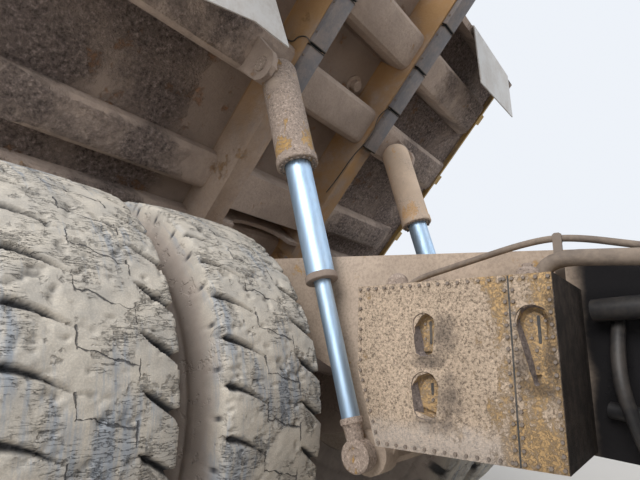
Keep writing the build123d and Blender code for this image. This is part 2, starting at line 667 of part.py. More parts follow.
def cab():
    """Hollow cab shell with its windows and doorways cut, glass, doors and seat."""
    (x0, x1), (y0, y1) = CAB_X, CAB_Y
    z0, t = DECK_TOP + RUN_GAP, CAB_WALL
    shell = block(x0, x1, y0, y1, z0, CAB_TOP)
    shell -= block(x0 + t, x1 - t, y0 + t, y1 - t, z0 + t, CAB_TOP - t)
    sill, head = SILL, WINDOW_TOP
    shell -= block(x1 - t - 1, x1 + 1, y0 + 110, y1 - 110, sill - 100, head)
    shell -= block(x0 - 1, x0 + t + 1, y0 + 200, y1 - 200, sill + 60, head)
    door = (*DOOR_X, z0 + 90, DOOR_TOP)
    shell -= block(door[0], door[1], y0 - 1, y1 + 1, door[2], door[3])
    shell -= block(SIDE_WINDOW_X, x1 - 110, y0 - 1, y1 + 1, sill, head)
    for z in HINGE_Z:
        shell += hinge_half(door[0] - 80, door[0] - HINGE_SIDE_GAP, y1, z)
        shell += cab_mirror(hinge_half(door[0] - 80, door[0] - HINGE_SIDE_GAP, y1, z))
    NODES["cab_shell"] = shell
    g = 12.0
    panes = [
        block(x1 - 40, x1 - 40 + g, y0 + 110 + RUN_GAP, y1 - 110 - RUN_GAP, sill - 100 + RUN_GAP, head - RUN_GAP),
        block(x0 + 20, x0 + 20 + g, y0 + 200 + RUN_GAP, y1 - 200 - RUN_GAP, sill + 60 + RUN_GAP, head - RUN_GAP),
    ]
    for y in (y0 + 20, y1 - 40):
        window = SIDE_WINDOW_X + RUN_GAP, x1 - 110 - RUN_GAP
        panes.append(block(*window, y, y + g, sill + RUN_GAP, head - RUN_GAP))
    NODES["cab_glass"] = Compound(panes)
    gap = 6.0
    leaf = block(door[0] + gap, door[1] - gap, y1 - t, y1, door[2] + gap, door[3] - gap)
    leaf -= block(door[0] + 110, door[1] - 110, y1 - t - 1, y1 + 1, sill, head - 20)
    for z in HINGE_Z:
        leaf += hinge_half(door[0] + HINGE_SIDE_GAP, door[0] + 80, y1, z + HINGE_HEIGHT + RUN_GAP)
    NODES["cab_door_left"] = leaf
    NODES["cab_door_right"] = cab_mirror(leaf)
    x, low = x0 + 280, z0 + t + RUN_GAP
    seat = block(x + 60, x + 540, 1070, 1550, 3420, 3560) + block(x, x + 120, 1090, 1530, 3560, 4180)
    seat += block(x + 160, x + 440, 1180, 1440, low, 3420)
    front = x1 - t - RUN_GAP
    console = side_prism([(front - 260, low), (front, low), (front, 3660), (front - 180, 3700)], 760, 1860)
    NODES["cab_interior"] = Compound([seat, console])


# Bed
def bolster(u, width, half_length, bottom):
    """Transverse box beam below the floor, its lower long edges rounded and its ends slanted."""
    low, high, r = u - width / 2, u + width / 2, BOLSTER_ROUND
    section = [(low, FLOOR_V)]
    section += [(low + r - r * cos(a), bottom + r - r * sin(a)) for a in (0, pi / 6, pi / 3, pi / 2)]
    section += [(high - r + r * sin(a), bottom + r - r * cos(a)) for a in (0, pi / 6, pi / 3, pi / 2)]
    section += [(high, FLOOR_V)]
    top = half_length + BOLSTER_END_SLANT
    ends = [(-top, FLOOR_V), (-half_length, bottom), (half_length, bottom), (top, FLOOR_V)]
    return side_prism(section, -top, top) & front_prism(ends, low, high)


def arch_plate():
    """Cross plate between the bed's rails, cut out in an arch."""
    low, high = ARCH_U
    half = BED_RAIL_Y[0] + 1
    plate = block(low, high, -half, half, PAD_LIFT + PAD_HEIGHT, FLOOR_V)
    steps = 8
    rise = ARCH_TOP_V - PAD_HEIGHT
    arch = [(ARCH_HALF * cos(pi * i / steps), PAD_HEIGHT + rise * sin(pi * i / steps)) for i in range(steps + 1)]
    return plate - front_prism([(-ARCH_HALF, 0), (ARCH_HALF, 0), *arch], low - 1, high + 1)


def flaps():
    """Rubber flaps that hang upright from the bed's underside with the bed raised."""
    u, width, _, bottom = BOLSTERS[-1]
    ahead, back = FLAP_STEPS
    front = hung_flap(FRONT_FLAP, FLOOR_FRONT_U + RUN_GAP, SILL_BEAM_V, ahead)
    rear = hung_flap(REAR_FLAP, u - width / 2 - RUN_GAP - FLAP_THICKNESS, bottom + BOLSTER_ROUND, back)
    return Compound([*left_and_right(front).values(), rear])


def hung_flap(outline, u, v, step):
    """Flap bolted to a face square to the floor, from which its lower part hangs upright."""
    t = FLAP_THICKNESS
    top = [y for y, drop in outline if drop == 0]
    strip = bed_plane() * block(u, u + t, min(top), max(top), v, v + FLAP_STRIP)
    x, z = raised(u + t / 2, v + FLAP_LAP)
    x += step - t / 2
    return strip + front_prism([(y, z + drop) for y, drop in outline], x, x + t)


def bed():
    """The bed's pieces, drawn lowered and then raised about the pivot."""
    place = bed_plane()
    inner_side = BED_HALF_WIDTH - PLATE
    pieces = {}
    pieces["bed_floor"] = block(TAIL_U, FLOOR_FRONT_U, -inner_side, inner_side, FLOOR_V, FLOOR_V + FLOOR_PLATE)
    low, high = BED_RAIL_Y
    rail = block(BED_RAIL_START_U, BED_RAIL_END_U, low, high, PAD_LIFT + PAD_HEIGHT, FLOOR_V - RUN_GAP)
    lug_low, lug_high = PIVOT_LUG_Y
    centre = (0, lug_low, -PAD_ABOVE_PIVOT), (0, lug_high, -PAD_ABOVE_PIVOT)
    lug = tube_bar(*centre, 2 * PIVOT_LUG_RADIUS - 10, PIN_SIDES)
    lug += side_prism([(-120, 0), (120, 0), (240, FLOOR_V), (-200, FLOOR_V)], lug_low, lug_high)
    rail += lug
    rail -= pin_bore(*centre, PIVOT_PIN_RADIUS)
    frame_part = both_sides(rail)
    for row in BOLSTERS:
        frame_part += bolster(*row)
    u, width = BOLSTERS[1][:2]
    inner = BED_RAIL_Y[0] + 1
    frame_part += block(u - width / 2, u + width / 2, -inner, inner, CROSS_BEAM_V, BOLSTERS[1][3] + BOLSTER_ROUND)
    frame_part += arch_plate()
    sill = block(FLOOR_FRONT_U - SILL_BEAM_U, FLOOR_FRONT_U, BED_RAIL_Y[1] - 1, inner_side - 60, SILL_BEAM_V, FLOOR_V)
    frame_part += both_sides(sill)
    ear = hoist_ear()
    frame_part += both_sides(ear)
    pieces["bed_rails"] = frame_part
    pads = [
        block(
            PAD_START_U + i * PAD_LENGTH + 4,
            PAD_START_U + (i + 1) * PAD_LENGTH - 4,
            PAD_Y - PAD_WIDTH / 2,
            PAD_Y + PAD_WIDTH / 2,
            PAD_LIFT,
            PAD_LIFT + PAD_HEIGHT - RUN_GAP,
        )
        for i in range(PAD_COUNT)
    ]
    pieces["bed_pads"] = Compound(pads + [mirror(pad, about=Plane.XZ) for pad in pads])
    outline = [
        (TAIL_U, FLOOR_V - 60),
        (FLOOR_FRONT_U, FLOOR_V - 60),
        (WALL_TOP_U, WALL_TOP_V),
        (WALL_TOP_U - 420, WALL_TOP_V - 60),
        (2600, SIDE_TOP_FRONT_V),
        (SIDE_TOP_REAR_U, SIDE_TOP_REAR_V),
        (TAIL_U, SIDE_TAIL_V),
    ]
    side = side_prism(outline, inner_side + RUN_GAP, BED_HALF_WIDTH)
    for i in range(SIDE_RIBS):
        u = SIDE_RIB_START_U + i * SIDE_RIB_PITCH
        side += block(u - 70, u + 70, BED_HALF_WIDTH - 2, BED_HALF_WIDTH + 95, FLOOR_V - 40, SIDE_TOP_REAR_V - 180)
    crest = outline[3:6]
    rail_band = [*crest, *[(u, v - TOP_RAIL) for u, v in reversed(crest)]]
    side += side_prism(rail_band, BED_HALF_WIDTH - 2, BED_HALF_WIDTH + TOP_RAIL)
    for name, shape in left_and_right(side).items():
        pieces[f"bed_side_{name}"] = shape
    wall = [
        (FLOOR_FRONT_U + RUN_GAP, FLOOR_V),
        (FLOOR_FRONT_U + WALL_PLATE, FLOOR_V),
        (WALL_TOP_U + WALL_PLATE, WALL_TOP_V),
        (WALL_TOP_U, WALL_TOP_V),
    ]
    depth = WALL_PLATE + WALL_RIB_DEPTH
    rib = [wall[1], (FLOOR_FRONT_U + depth, FLOOR_V), (WALL_TOP_U + depth, WALL_TOP_V), wall[2]]
    ribs = side_prism([(u - 2, v) if i in (0, 3) else (u, v) for i, (u, v) in enumerate(rib)], *BED_RAIL_Y)
    pieces["bed_front_wall"] = side_prism(wall, -inner_side, inner_side) + both_sides(ribs)
    roof = [
        (WALL_TOP_U, WALL_TOP_V + RUN_GAP),
        (CANOPY_FRONT_U, CANOPY_FRONT_V),
        (CANOPY_FRONT_U, CANOPY_FRONT_V + 70),
        (WALL_TOP_U, WALL_TOP_V + 70),
    ]
    canopy = side_prism(roof, -CANOPY_HALF_WIDTH, CANOPY_HALF_WIDTH)
    root = WALL_TOP_U + depth + 40
    slope = (CANOPY_FRONT_V - WALL_TOP_V) / (CANOPY_FRONT_U - WALL_TOP_U)
    root_v = WALL_TOP_V + (root - WALL_TOP_U) * slope + 2
    beam = [(root, root_v), (CANOPY_FRONT_U, CANOPY_FRONT_V + 2), (root, root_v - CANOPY_RIB_DEPTH)]
    for y in CANOPY_RIB_Y:
        canopy += side_prism(beam, y - 50, y + 50)
    pieces["bed_canopy"] = canopy
    for name, shape in pieces.items():
        NODES[name] = place * shape
    NODES["bed_flaps"] = flaps()


def hoist_ear():
    """Ear on the bed outside the left barrel, bored for its trunnion, in the bed's axes."""
    u, v = in_bed(*hoist_point(HOIST_LENGTH)[::2])
    y0 = HOIST_Y + BARREL_RADIUS + 8
    ear = tube_bar((u, y0, v), (u, y0 + 50, v), 250, PIN_SIDES)
    ear += side_prism([(u - 125, v), (u + 125, v), (u + 180, 160), (u - 120, 160)], y0, y0 + 50)
    return ear - pin_bore((u, y0, v), (u, y0 + 50, v), TRUNNION_RADIUS)


def raised(u, v):
    """X and Z of a point given by its U and V, with the bed raised."""
    lift = radians(BED_RAISED_ANGLE)
    v += PAD_ABOVE_PIVOT
    return PIVOT_X + u * cos(lift) - v * sin(lift), PIVOT_Z + u * sin(lift) + v * cos(lift)


def in_bed(x, z):
    """A point's place along the bed's U and V with the bed raised."""
    lift = radians(BED_RAISED_ANGLE)
    dx, dz = x - PIVOT_X, z - PIVOT_Z
    return dx * cos(lift) + dz * sin(lift), -dx * sin(lift) + dz * cos(lift) - PAD_ABOVE_PIVOT


# Hoist
def gland_bore(z0, z1, radius):
    """Hole up a cylinder from z0 to z1, close round the sliding piece at its mouth."""
    mouth = z0 + GLAND_LENGTH
    over_flats = 2 * cos(pi / HOIST_SIDES)
    bore = tube_bar((0, 0, mouth), (0, 0, z1), over_flats * (radius + BORE_GAP), HOIST_SIDES)
    return bore + tube_bar((0, 0, z0 - 1), (0, 0, mouth), over_flats * radius + 2 * RUN_GAP, HOIST_SIDES)


def hoist():
    """Barrels, first stages and rods of both cylinders."""
    axis = Vector(*hoist_point(1)) - Vector(*hoist_point(0))
    place = Plane(origin=hoist_point(0), x_dir=(0, 1, 0), z_dir=axis).location

    def drum(z0, z1, radius):
        return tube_bar((0, 0, z0), (0, 0, z1), 2 * radius * cos(pi / HOIST_SIDES), HOIST_SIDES)

    barrel = drum(BARREL_START, HOIST_LENGTH, BARREL_RADIUS)
    barrel += drum(BARREL_START, BARREL_START + COLLAR_LENGTH, COLLAR_RADIUS)
    for start, height, radius, taper in (
        # share of the barrel's radius: start, height, radius at the start; then the slope in degrees
        (0.0, 0.55, 0.995, 20),
        (0.55, 0.35, 0.79, 52),
    ):
        face = Pos(0, 0, HOIST_LENGTH + start * BARREL_RADIUS) * RegularPolygon(radius * BARREL_RADIUS, HOIST_SIDES)
        barrel += extrude(face, amount=height * BARREL_RADIUS, taper=taper)
    barrel -= gland_bore(BARREL_START, BARREL_BORE_END, STAGE_RADIUS)
    low = (Align.MIN, Align.CENTER, Align.CENTER)
    barrel += Pos(100, 0, HOIST_LENGTH - 10) * Box(BARREL_RADIUS - 96, 170, 150, align=low)
    barrel += pin((BARREL_RADIUS + 4, 0, HOIST_LENGTH), (BARREL_RADIUS + 70, 0, HOIST_LENGTH), TRUNNION_RADIUS)
    stage_top = BARREL_BORE_END - END_GAP - STAGE_STROKE
    stage = drum(STAGE_START, stage_top, STAGE_RADIUS)
    stage += drum(STAGE_START, STAGE_START + RING_LENGTH, STAGE_RING_RADIUS)
    stage_bore_end = stage_top - STAGE_END_WALL
    stage -= gland_bore(STAGE_START, stage_bore_end, ROD_RADIUS)
    rod_top = stage_bore_end - END_GAP - STAGE_STROKE
    rod = drum(FLANGE_TOP, rod_top, ROD_RADIUS)
    rod += drum(FLANGE_TOP - 32, FLANGE_TOP, FLANGE_RADIUS)
    neck = (Align.CENTER, Align.CENTER, Align.MIN)
    rod += Pos(0, 0, 40) * Box(EYE_WIDTH - 8, 2 * ROD_RADIUS, FLANGE_TOP - 72, align=neck)
    rod += tube_bar((-EYE_WIDTH / 2, 0, 0), (EYE_WIDTH / 2, 0, 0), 2 * EYE_RADIUS, HUB_SIDES)
    rod += pin((BRACKET_FACE_Y + RUN_GAP - HOIST_Y, 0, 0), (-EYE_WIDTH / 2, 0, 0), EYE_PIN_RADIUS)
    for name, shape in (("hoist_barrel", barrel), ("hoist_stage", stage), ("hoist_rod", rod)):
        for side, copy in left_and_right(place * shape).items():
            NODES[f"{name}_{side}"] = copy


wheels()
NODES["frame"] = frame()
running_gear()
drivetrain()
tanks()
front_end()
cab()
bed()
hoist()
for node, shape in NODES.items():
    export_step(Pos(REAR_AXLE_X, 0, 0) * shape, f"parts/{node}.step")
print(len(NODES), "nodes")
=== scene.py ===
"""Looks of a rigid mining dump truck with its bed raised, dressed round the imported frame.

Everything is in metres in the row frame: X forward, Y to the left, Z up, origin on the ground below
the middle of the truck. Each sub-assembly is a class with its sizes as fields.
"""

from __future__ import annotations

import logging
import math
from dataclasses import dataclass, field
from enum import Enum
from typing import Sequence

import bmesh
import bpy
import numpy as np
from mathutils import Matrix, Vector, noise
from mathutils.bvhtree import BVHTree

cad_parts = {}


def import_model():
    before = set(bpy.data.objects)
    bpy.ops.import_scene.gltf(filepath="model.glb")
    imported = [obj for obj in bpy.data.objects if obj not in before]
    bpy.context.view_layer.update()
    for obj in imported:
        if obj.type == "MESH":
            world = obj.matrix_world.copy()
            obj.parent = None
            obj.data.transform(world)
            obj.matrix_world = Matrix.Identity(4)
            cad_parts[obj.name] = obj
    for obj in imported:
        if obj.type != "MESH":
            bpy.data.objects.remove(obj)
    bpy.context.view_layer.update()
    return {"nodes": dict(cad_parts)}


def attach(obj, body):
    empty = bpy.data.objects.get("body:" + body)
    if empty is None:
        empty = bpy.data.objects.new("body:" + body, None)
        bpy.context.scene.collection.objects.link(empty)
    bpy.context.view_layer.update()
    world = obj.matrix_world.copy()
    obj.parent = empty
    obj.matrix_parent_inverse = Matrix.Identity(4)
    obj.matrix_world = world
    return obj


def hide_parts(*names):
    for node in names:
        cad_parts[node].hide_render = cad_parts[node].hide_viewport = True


LOG = logging.getLogger("dump_truck")

REAR_AXLE_X = -1.790
WHEELBASE = 4.560
PIVOT = Vector((-2.290, 0.0, 2.482))
BED_RAISED_ANGLE = math.radians(48.93)
BED_COS, BED_SIN = math.cos(BED_RAISED_ANGLE), math.sin(BED_RAISED_ANGLE)
PAD_ABOVE_PIVOT = 0.0083

Point = tuple[float, float, float]
Colour = tuple[float, float, float]


class Side(Enum):
    """Side of the truck, with the sign of its Y coordinate."""

    LEFT = 1
    RIGHT = -1

    @property
    def word(self) -> str:
        """Suffix used in node and body names."""
        return self.name.lower()


def bed_point(u: float, y: float, v: float) -> Vector:
    """Point given along the bed's own axes, with the bed raised.

    Args:
        u: Distance forward of the pivot along the floor, in metres.
        y: Distance to the left.
        v: Height over the plane of the rail pads.

    Returns:
        The point in the row frame.
    """
    v += PAD_ABOVE_PIVOT
    return Vector((PIVOT.x + u * BED_COS - v * BED_SIN, y, PIVOT.z + u * BED_SIN + v * BED_COS))


def along_bed(x: "Signal", z: "Signal") -> "Signal":
    """Distance forward of the pivot along the raised bed's floor."""
    return x * BED_COS + z * BED_SIN - (PIVOT.x * BED_COS + PIVOT.z * BED_SIN)


def circle(radius: float, count: int) -> list[tuple[float, float]]:
    """Evenly spaced points of a circle round 0."""
    turns = [2 * math.pi * k / count for k in range(count)]
    return [(radius * math.cos(a), radius * math.sin(a)) for a in turns]


def dome(radius: float, foot: float, rise: float, steps: int) -> list[tuple[float, float]]:
    """Turned outline of a dome, as (radius, height), that closes on its axis."""
    turns = np.linspace(0.0, math.pi / 2, steps)
    outline = [(radius * math.cos(a), foot + rise * math.sin(a)) for a in turns]
    return [*outline[:-1], (0.0, outline[-1][1])]


def add_object(name: str, data: bpy.types.ID) -> bpy.types.Object:
    """Make an object of some data and link it to the scene."""
    piece = bpy.data.objects.new(name, data)
    bpy.context.scene.collection.objects.link(piece)
    return piece


def evaluated_mesh(piece: bpy.types.Object) -> bpy.types.Mesh:
    """Plain mesh of an object as its modifiers or its curve make it."""
    bpy.context.view_layer.update()
    graph = bpy.context.evaluated_depsgraph_get()
    return bpy.data.meshes.new_from_object(piece.evaluated_get(graph))


def keep_evaluated(piece: bpy.types.Object) -> bpy.types.Object:
    """Give an object the mesh that its modifiers make, and remove them."""
    result = evaluated_mesh(piece)
    piece.modifiers.clear()
    piece.data = result
    return piece


class Signal:
    """Node socket with arithmetic, so that shader maths reads as an expression."""

    def __init__(self, shade: "Shade", socket: bpy.types.NodeSocket) -> None:
        """Wrap a socket of a shade's node tree."""
        self.shade = shade
        self.socket = socket

    def _math(self, operation: str, *values: "Signal | float", clamp: bool = False) -> "Signal":
        """Add a Math node on the given values."""
        settings = {"operation": operation, "use_clamp": clamp}
        node = self.shade.node("ShaderNodeMath", settings, dict(enumerate(values)))
        return Signal(self.shade, node.outputs[0])

    def __add__(self, other: "Signal | float") -> "Signal":
        """Sum."""
        return self._math("ADD", self, other)

    def __radd__(self, other: float) -> "Signal":
        """Sum, number first."""
        return self._math("ADD", other, self)

    def __sub__(self, other: "Signal | float") -> "Signal":
        """Difference."""
        return self._math("SUBTRACT", self, other)

    def __rsub__(self, other: float) -> "Signal":
        """Difference, number first."""
        return self._math("SUBTRACT", other, self)

    def __mul__(self, other: "Signal | float") -> "Signal":
        """Product."""
        return self._math("MULTIPLY", self, other)

    def __rmul__(self, other: float) -> "Signal":
        """Product, number first."""
        return self._math("MULTIPLY", other, self)

    def __rtruediv__(self, other: float) -> "Signal":
        """A number divided by the value."""
        return self._math("DIVIDE", other, self)

    def __pow__(self, other: float) -> "Signal":
        """Power."""
        return self._math("POWER", self, other)

    def clamp(self) -> "Signal":
        """The value held between 0 and 1."""
        return self._math("ADD", self, 0.0, clamp=True)

    def peak(self, other: "Signal | float") -> "Signal":
        """The larger of two values."""
        return self._math("MAXIMUM", self, other)

    def fraction(self) -> "Signal":
        """The value's fractional part."""
        return self._math("FRACT", self)

    def magnitude(self) -> "Signal":
        """The absolute value."""
        return self._math("ABSOLUTE", self)

    def under(self, limit: "Signal | float") -> "Signal":
        """1 where the value is well under a limit, falling to 0 at it."""
        return (1.0 - self * (1.0 / limit)).clamp().soft()

    def soft(self) -> "Signal":
        """Sharper start of a value between 0 and 1."""
        return self ** 0.6

    def step(self, low: float, high: float) -> "Signal":
        """Smooth ramp from 0 at low to 1 at high, or falling where low is above high."""
        values = {"Value": self, "From Min": min(low, high), "From Max": max(low, high)}
        node = self.shade.node("ShaderNodeMapRange", {"interpolation_type": "SMOOTHSTEP"}, values)
        ramp = Signal(self.shade, node.outputs["Result"])
        return ramp if low <= high else 1.0 - ramp


class Shade:
    """One node material under construction."""

    def __init__(self, name: str) -> None:
        """Start an empty node material of that name."""
        self.material = bpy.data.materials.new(name)
        self.material.use_nodes = True
        self.tree = self.material.node_tree
        self.tree.nodes.clear()
        self.output = self.tree.nodes.new("ShaderNodeOutputMaterial")

    def node(self, kind: str, settings: dict | None = None, values: dict | None = None) -> bpy.types.Node:
        """Add a node.

        Args:
            kind: Blender's type of the node.
            settings: Properties, set before the sockets.
            values: Values, colours or links of its inputs, by name or index.

        Returns:
            The new node.
        """
        node = self.tree.nodes.new(kind)
        for key, value in (settings or {}).items():
            setattr(node, key, value)
        for key, value in (values or {}).items():
            if isinstance(value, Signal):
                self.tree.links.new(value.socket, node.inputs[key])
            elif isinstance(value, bpy.types.NodeSocket):
                self.tree.links.new(value, node.inputs[key])
            elif isinstance(value, tuple) and len(value) == 3 and node.inputs[key].type == "RGBA":
                node.inputs[key].default_value = (*value, 1.0)
            else:
                node.inputs[key].default_value = value
        return node

    def place(self, scale: Point = (1.0, 1.0, 1.0), turn: Point = (0.0, 0.0, 0.0)) -> bpy.types.NodeSocket:
        """Object coordinates, scaled and turned."""
        coordinates = self.node("ShaderNodeTexCoord")
        values = {"Vector": coordinates.outputs["Object"], "Scale": scale, "Rotation": turn}
        return self.node("ShaderNodeMapping", {"vector_type": "POINT"}, values).outputs[0]

    def attribute(self, name: str) -> Signal:
        """Value of a piece's own attribute."""
        return Signal(self, self.node("ShaderNodeAttribute", {"attribute_name": name}).outputs["Fac"])

    def axes(self) -> list[Signal]:
        """The three Object coordinates, in metres."""
        return self.split(self.place())

    def facing(self) -> list[Signal]:
        """The three parts of the surface's direction."""
        return self.split(self.node("ShaderNodeTexCoord").outputs["Normal"])

    def split(self, vector: bpy.types.NodeSocket) -> list[Signal]:
        """The three parts of a vector."""
        return [Signal(self, s) for s in self.node("ShaderNodeSeparateXYZ", {}, {0: vector}).outputs]

    def join(self, x: Signal, y: Signal) -> bpy.types.NodeSocket:
        """A vector from two values."""
        return self.node("ShaderNodeCombineXYZ", {}, {0: x, 1: y}).outputs[0]

    def math(self, operation: str, value: Signal) -> Signal:
        """A Math node of one value."""
        return Signal(self, self.node("ShaderNodeMath", {"operation": operation}, {0: value}).outputs[0])

    def noise(
        self, scale: float, detail: float, rough: float, place: bpy.types.NodeSocket | None = None,
    ) -> Signal:
        """Fractal noise, on Object coordinates if no other place is given, from 0 to 1."""
        values = {"Vector": place or self.place(), "Scale": scale, "Detail": detail, "Roughness": rough}
        return Signal(self, self.node("ShaderNodeTexNoise", {}, values).outputs["Fac"])

    def mix(self, factor: Signal | float, first: object, second: object) -> bpy.types.NodeSocket:
        """Blend of two colours."""
        values = {0: factor, 6: first, 7: second}
        return self.node("ShaderNodeMix", {"data_type": "RGBA"}, values).outputs[2]

    def bump(self, height: Signal, distance: float) -> bpy.types.NodeSocket:
        """Normal bent by a height signal."""
        values = {"Height": height, "Distance": distance, "Strength": 1.0}
        return self.node("ShaderNodeBump", {}, values).outputs[0]

    def surface(self, values: dict) -> bpy.types.Material:
        """End in a Principled shader with those inputs, and return the material."""
        shader = self.node("ShaderNodeBsdfPrincipled", {}, values)
        self.tree.links.new(shader.outputs[0], self.output.inputs["Surface"])
        return self.material


@dataclass(frozen=True)
class Grime:
    """Paint under dust, dried mud and gravel, torn off in patches."""

    name: str
    paint: Colour = (0.46, 0.26, 0.07)
    dust: Colour = (0.50, 0.40, 0.32)
    mud: Colour = (0.20, 0.155, 0.13)
    bare: float = 0.30
    caked: float = 0.45
    grain: float = 55.0
    relief: float = 0.010
    gain: float = 2.0
    specks: float = 0.0

    def bare_share(self, shade: Shade) -> Signal:
        """How much of the surface shows its paint, from 0 to 1."""
        return shade.noise(3.1, 6.0, 0.68).step(0.72 - self.bare * 0.4, 0.80 - self.bare * 0.4)

    def caked_share(self, shade: Shade) -> Signal:
        """How much of the surface is under gravelly mud, from 0 to 1."""
        return shade.noise(2.3, 6.0, 0.66, place=shade.place(turn=(0.4, 0.0, 1.1))).step(
            0.72 - self.caked * 0.45, 0.84 - self.caked * 0.45)

    def tone(self, shade: Shade, colour: bpy.types.NodeSocket) -> bpy.types.NodeSocket:
        """Last change of the colour from place to place."""
        return colour

    def build(self) -> bpy.types.Material:
        """Make the material.

        Returns:
            The finished node material.
        """
        shade = Shade(self.name)
        clumps = shade.noise(self.grain, 8.0, 0.78)
        pits = shade.noise(self.grain * 1.9, 3.0, 0.6, place=shade.place(turn=(0.9, 0.3, 0.2)))
        film = shade.noise(1.7, 6.0, 0.62)
        caked, bare = self.caked_share(shade), self.bare_share(shade)
        ragged = (bare - clumps.step(0.46, 0.62) * 0.75).clamp()
        dark, light = tuple(c * 0.35 for c in self.mud), tuple(min(1.0, c * self.gain) for c in self.mud)
        stone = shade.mix(clumps.step(0.37 + self.specks, 0.46 + self.specks), dark, self.mud)
        stone = shade.mix(clumps.step(0.52, 0.62) * 0.9, stone, light)
        smear = shade.mix(film.step(0.35, 0.7), self.dust, tuple(c * 0.72 for c in self.dust))
        smear = shade.mix(clumps.step(0.56, 0.40) * 0.35, smear, self.mud)
        colour = shade.mix(caked, smear, stone)
        paint = shade.mix(pits.step(0.35, 0.7), tuple(c * 0.78 for c in self.paint), self.paint)
        colour = shade.mix(ragged * 0.85, colour, paint)
        height = (clumps * 0.9 + pits * 0.4) * (caked * 0.85 + 0.15) * (1.0 - ragged * 0.8)
        values = {
            "Base Color": self.tone(shade, colour), "Roughness": 0.96 - ragged * 0.3,
            "Normal": shade.bump(height, self.relief), "Specular IOR Level": 0.25,
        }
        return shade.surface(values)


@dataclass(frozen=True)
class TankGrime(Grime):
    """Tank sides: fine gravel over yellow paint that shows beside the seam and in the recesses."""

    recess_y: float = -1.3485
    front_x: float = 0.872
    pale_z: float = 1.42
    wet_mud: Colour = (0.050, 0.043, 0.042)
    pale_dust: Colour = (0.60, 0.53, 0.48)
    wet: tuple[tuple[float, float, float, float], ...] = (
        # patches of wet mud: middle X and Z, half width, half height
        (0.432, 1.800, 0.060, 0.110), (0.350, 1.695, 0.100, 0.038), (0.445, 1.550, 0.065, 0.110),
        (0.380, 1.435, 0.120, 0.040), (0.742, 1.680, 0.030, 0.120), (0.850, 1.720, 0.030, 0.170),
        (0.800, 1.600, 0.075, 0.035), (0.868, 1.880, 0.030, 0.110),
    )

    def bare_share(self, shade: Shade) -> Signal:
        """Paint shows in runs towards the front and wholly inside the recesses."""
        x, y, z = shade.axes()
        runs = shade.noise(8.5, 6.0, 0.68, place=shade.place((1.0, 1.0, 0.28)))
        patches = shade.noise(4.0, 7.0, 0.75, place=shade.place(turn=(0.2, 0.5, 0.0)))
        low = z.step(self.pale_z + 0.16, self.pale_z - 0.02)
        ahead = (x - 0.42).clamp() * 0.34 + low * x.step(0.55, 0.75) * 0.07
        return (runs * 0.55 + patches * 0.45 + ahead).step(0.575, 0.655).peak(
            y.step(self.recess_y + 0.004, self.recess_y + 0.012) * 0.92)

    def tone(self, shade: Shade, colour: bpy.types.NodeSocket) -> bpy.types.NodeSocket:
        """Dark wet patches, pale splashes along the bottom and painted shade on the end face towards the
        engine.
        """
        x, y, z = shade.axes()
        blob = None
        for cx, cz, rx, rz in self.wet:
            dx, dz = (x - cx) * (1.0 / rx), (z - cz) * (1.0 / rz)
            spot = 1.0 - (dx * dx + dz * dz)
            blob = spot if blob is None else blob.peak(spot)
        ragged = (shade.noise(22.0, 6.0, 0.75) - 0.5) * 3.4
        outside = y.step(self.recess_y + 0.012, self.recess_y + 0.004)
        wetness = (blob * 0.9 + ragged).step(-0.35, 1.15) * outside * 0.62
        colour = shade.mix(wetness, colour, self.wet_mud)
        cloud = shade.noise(8.0, 6.0, 0.7) * 0.20
        pale = (z + cloud).step(self.pale_z + 0.15, self.pale_z + 0.05) * x.step(0.75, 0.60)
        colour = shade.mix(pale * 0.55, colour, self.pale_dust)
        # painted shade on the front end face, which faces away from the light; noise mottles it
        mottled_end_shade = shade.noise(9.0, 5.0, 0.7).step(0.40, 0.65)
        end = shade.mix(mottled_end_shade, (0.030, 0.027, 0.029), (0.085, 0.068, 0.060))
        return shade.mix(x.step(self.front_x, self.front_x + 0.006) * 0.96, colour, end)


@dataclass(frozen=True)
class FrameGrime(Grime):
    """Frame rails: smooth tan dust, and black beside the engine with oil and painted shade of the engine bay.
    """

    oil_x: float = 0.86
    oil: Colour = (0.010, 0.010, 0.012)

    def tone(self, shade: Shade, colour: bpy.types.NodeSocket) -> bpy.types.NodeSocket:
        """Oil and painted shade of the engine bay, ahead of the tanks."""
        edge = shade.axes()[0] + shade.noise(5.0, 4.0, 0.6) * 0.10
        # near black ahead of the tanks: oil, and painted shade of the engine bay
        return shade.mix(edge.step(self.oil_x, self.oil_x + 0.10) * 0.99, colour, self.oil)


@dataclass(frozen=True)
class CylinderGrime(Grime):
    """Hoist barrels: gravelly dust, with paint showing where the piece's own wear value is high."""

    def bare_share(self, shade: Shade) -> Signal:
        """Paint shows in patches, most of all near the collar."""
        patches = shade.noise(7.0, 6.0, 0.7, place=shade.place((1.0, 1.0, 0.45)))
        return (patches + shade.attribute("worn") * 0.12).step(0.60, 0.66)


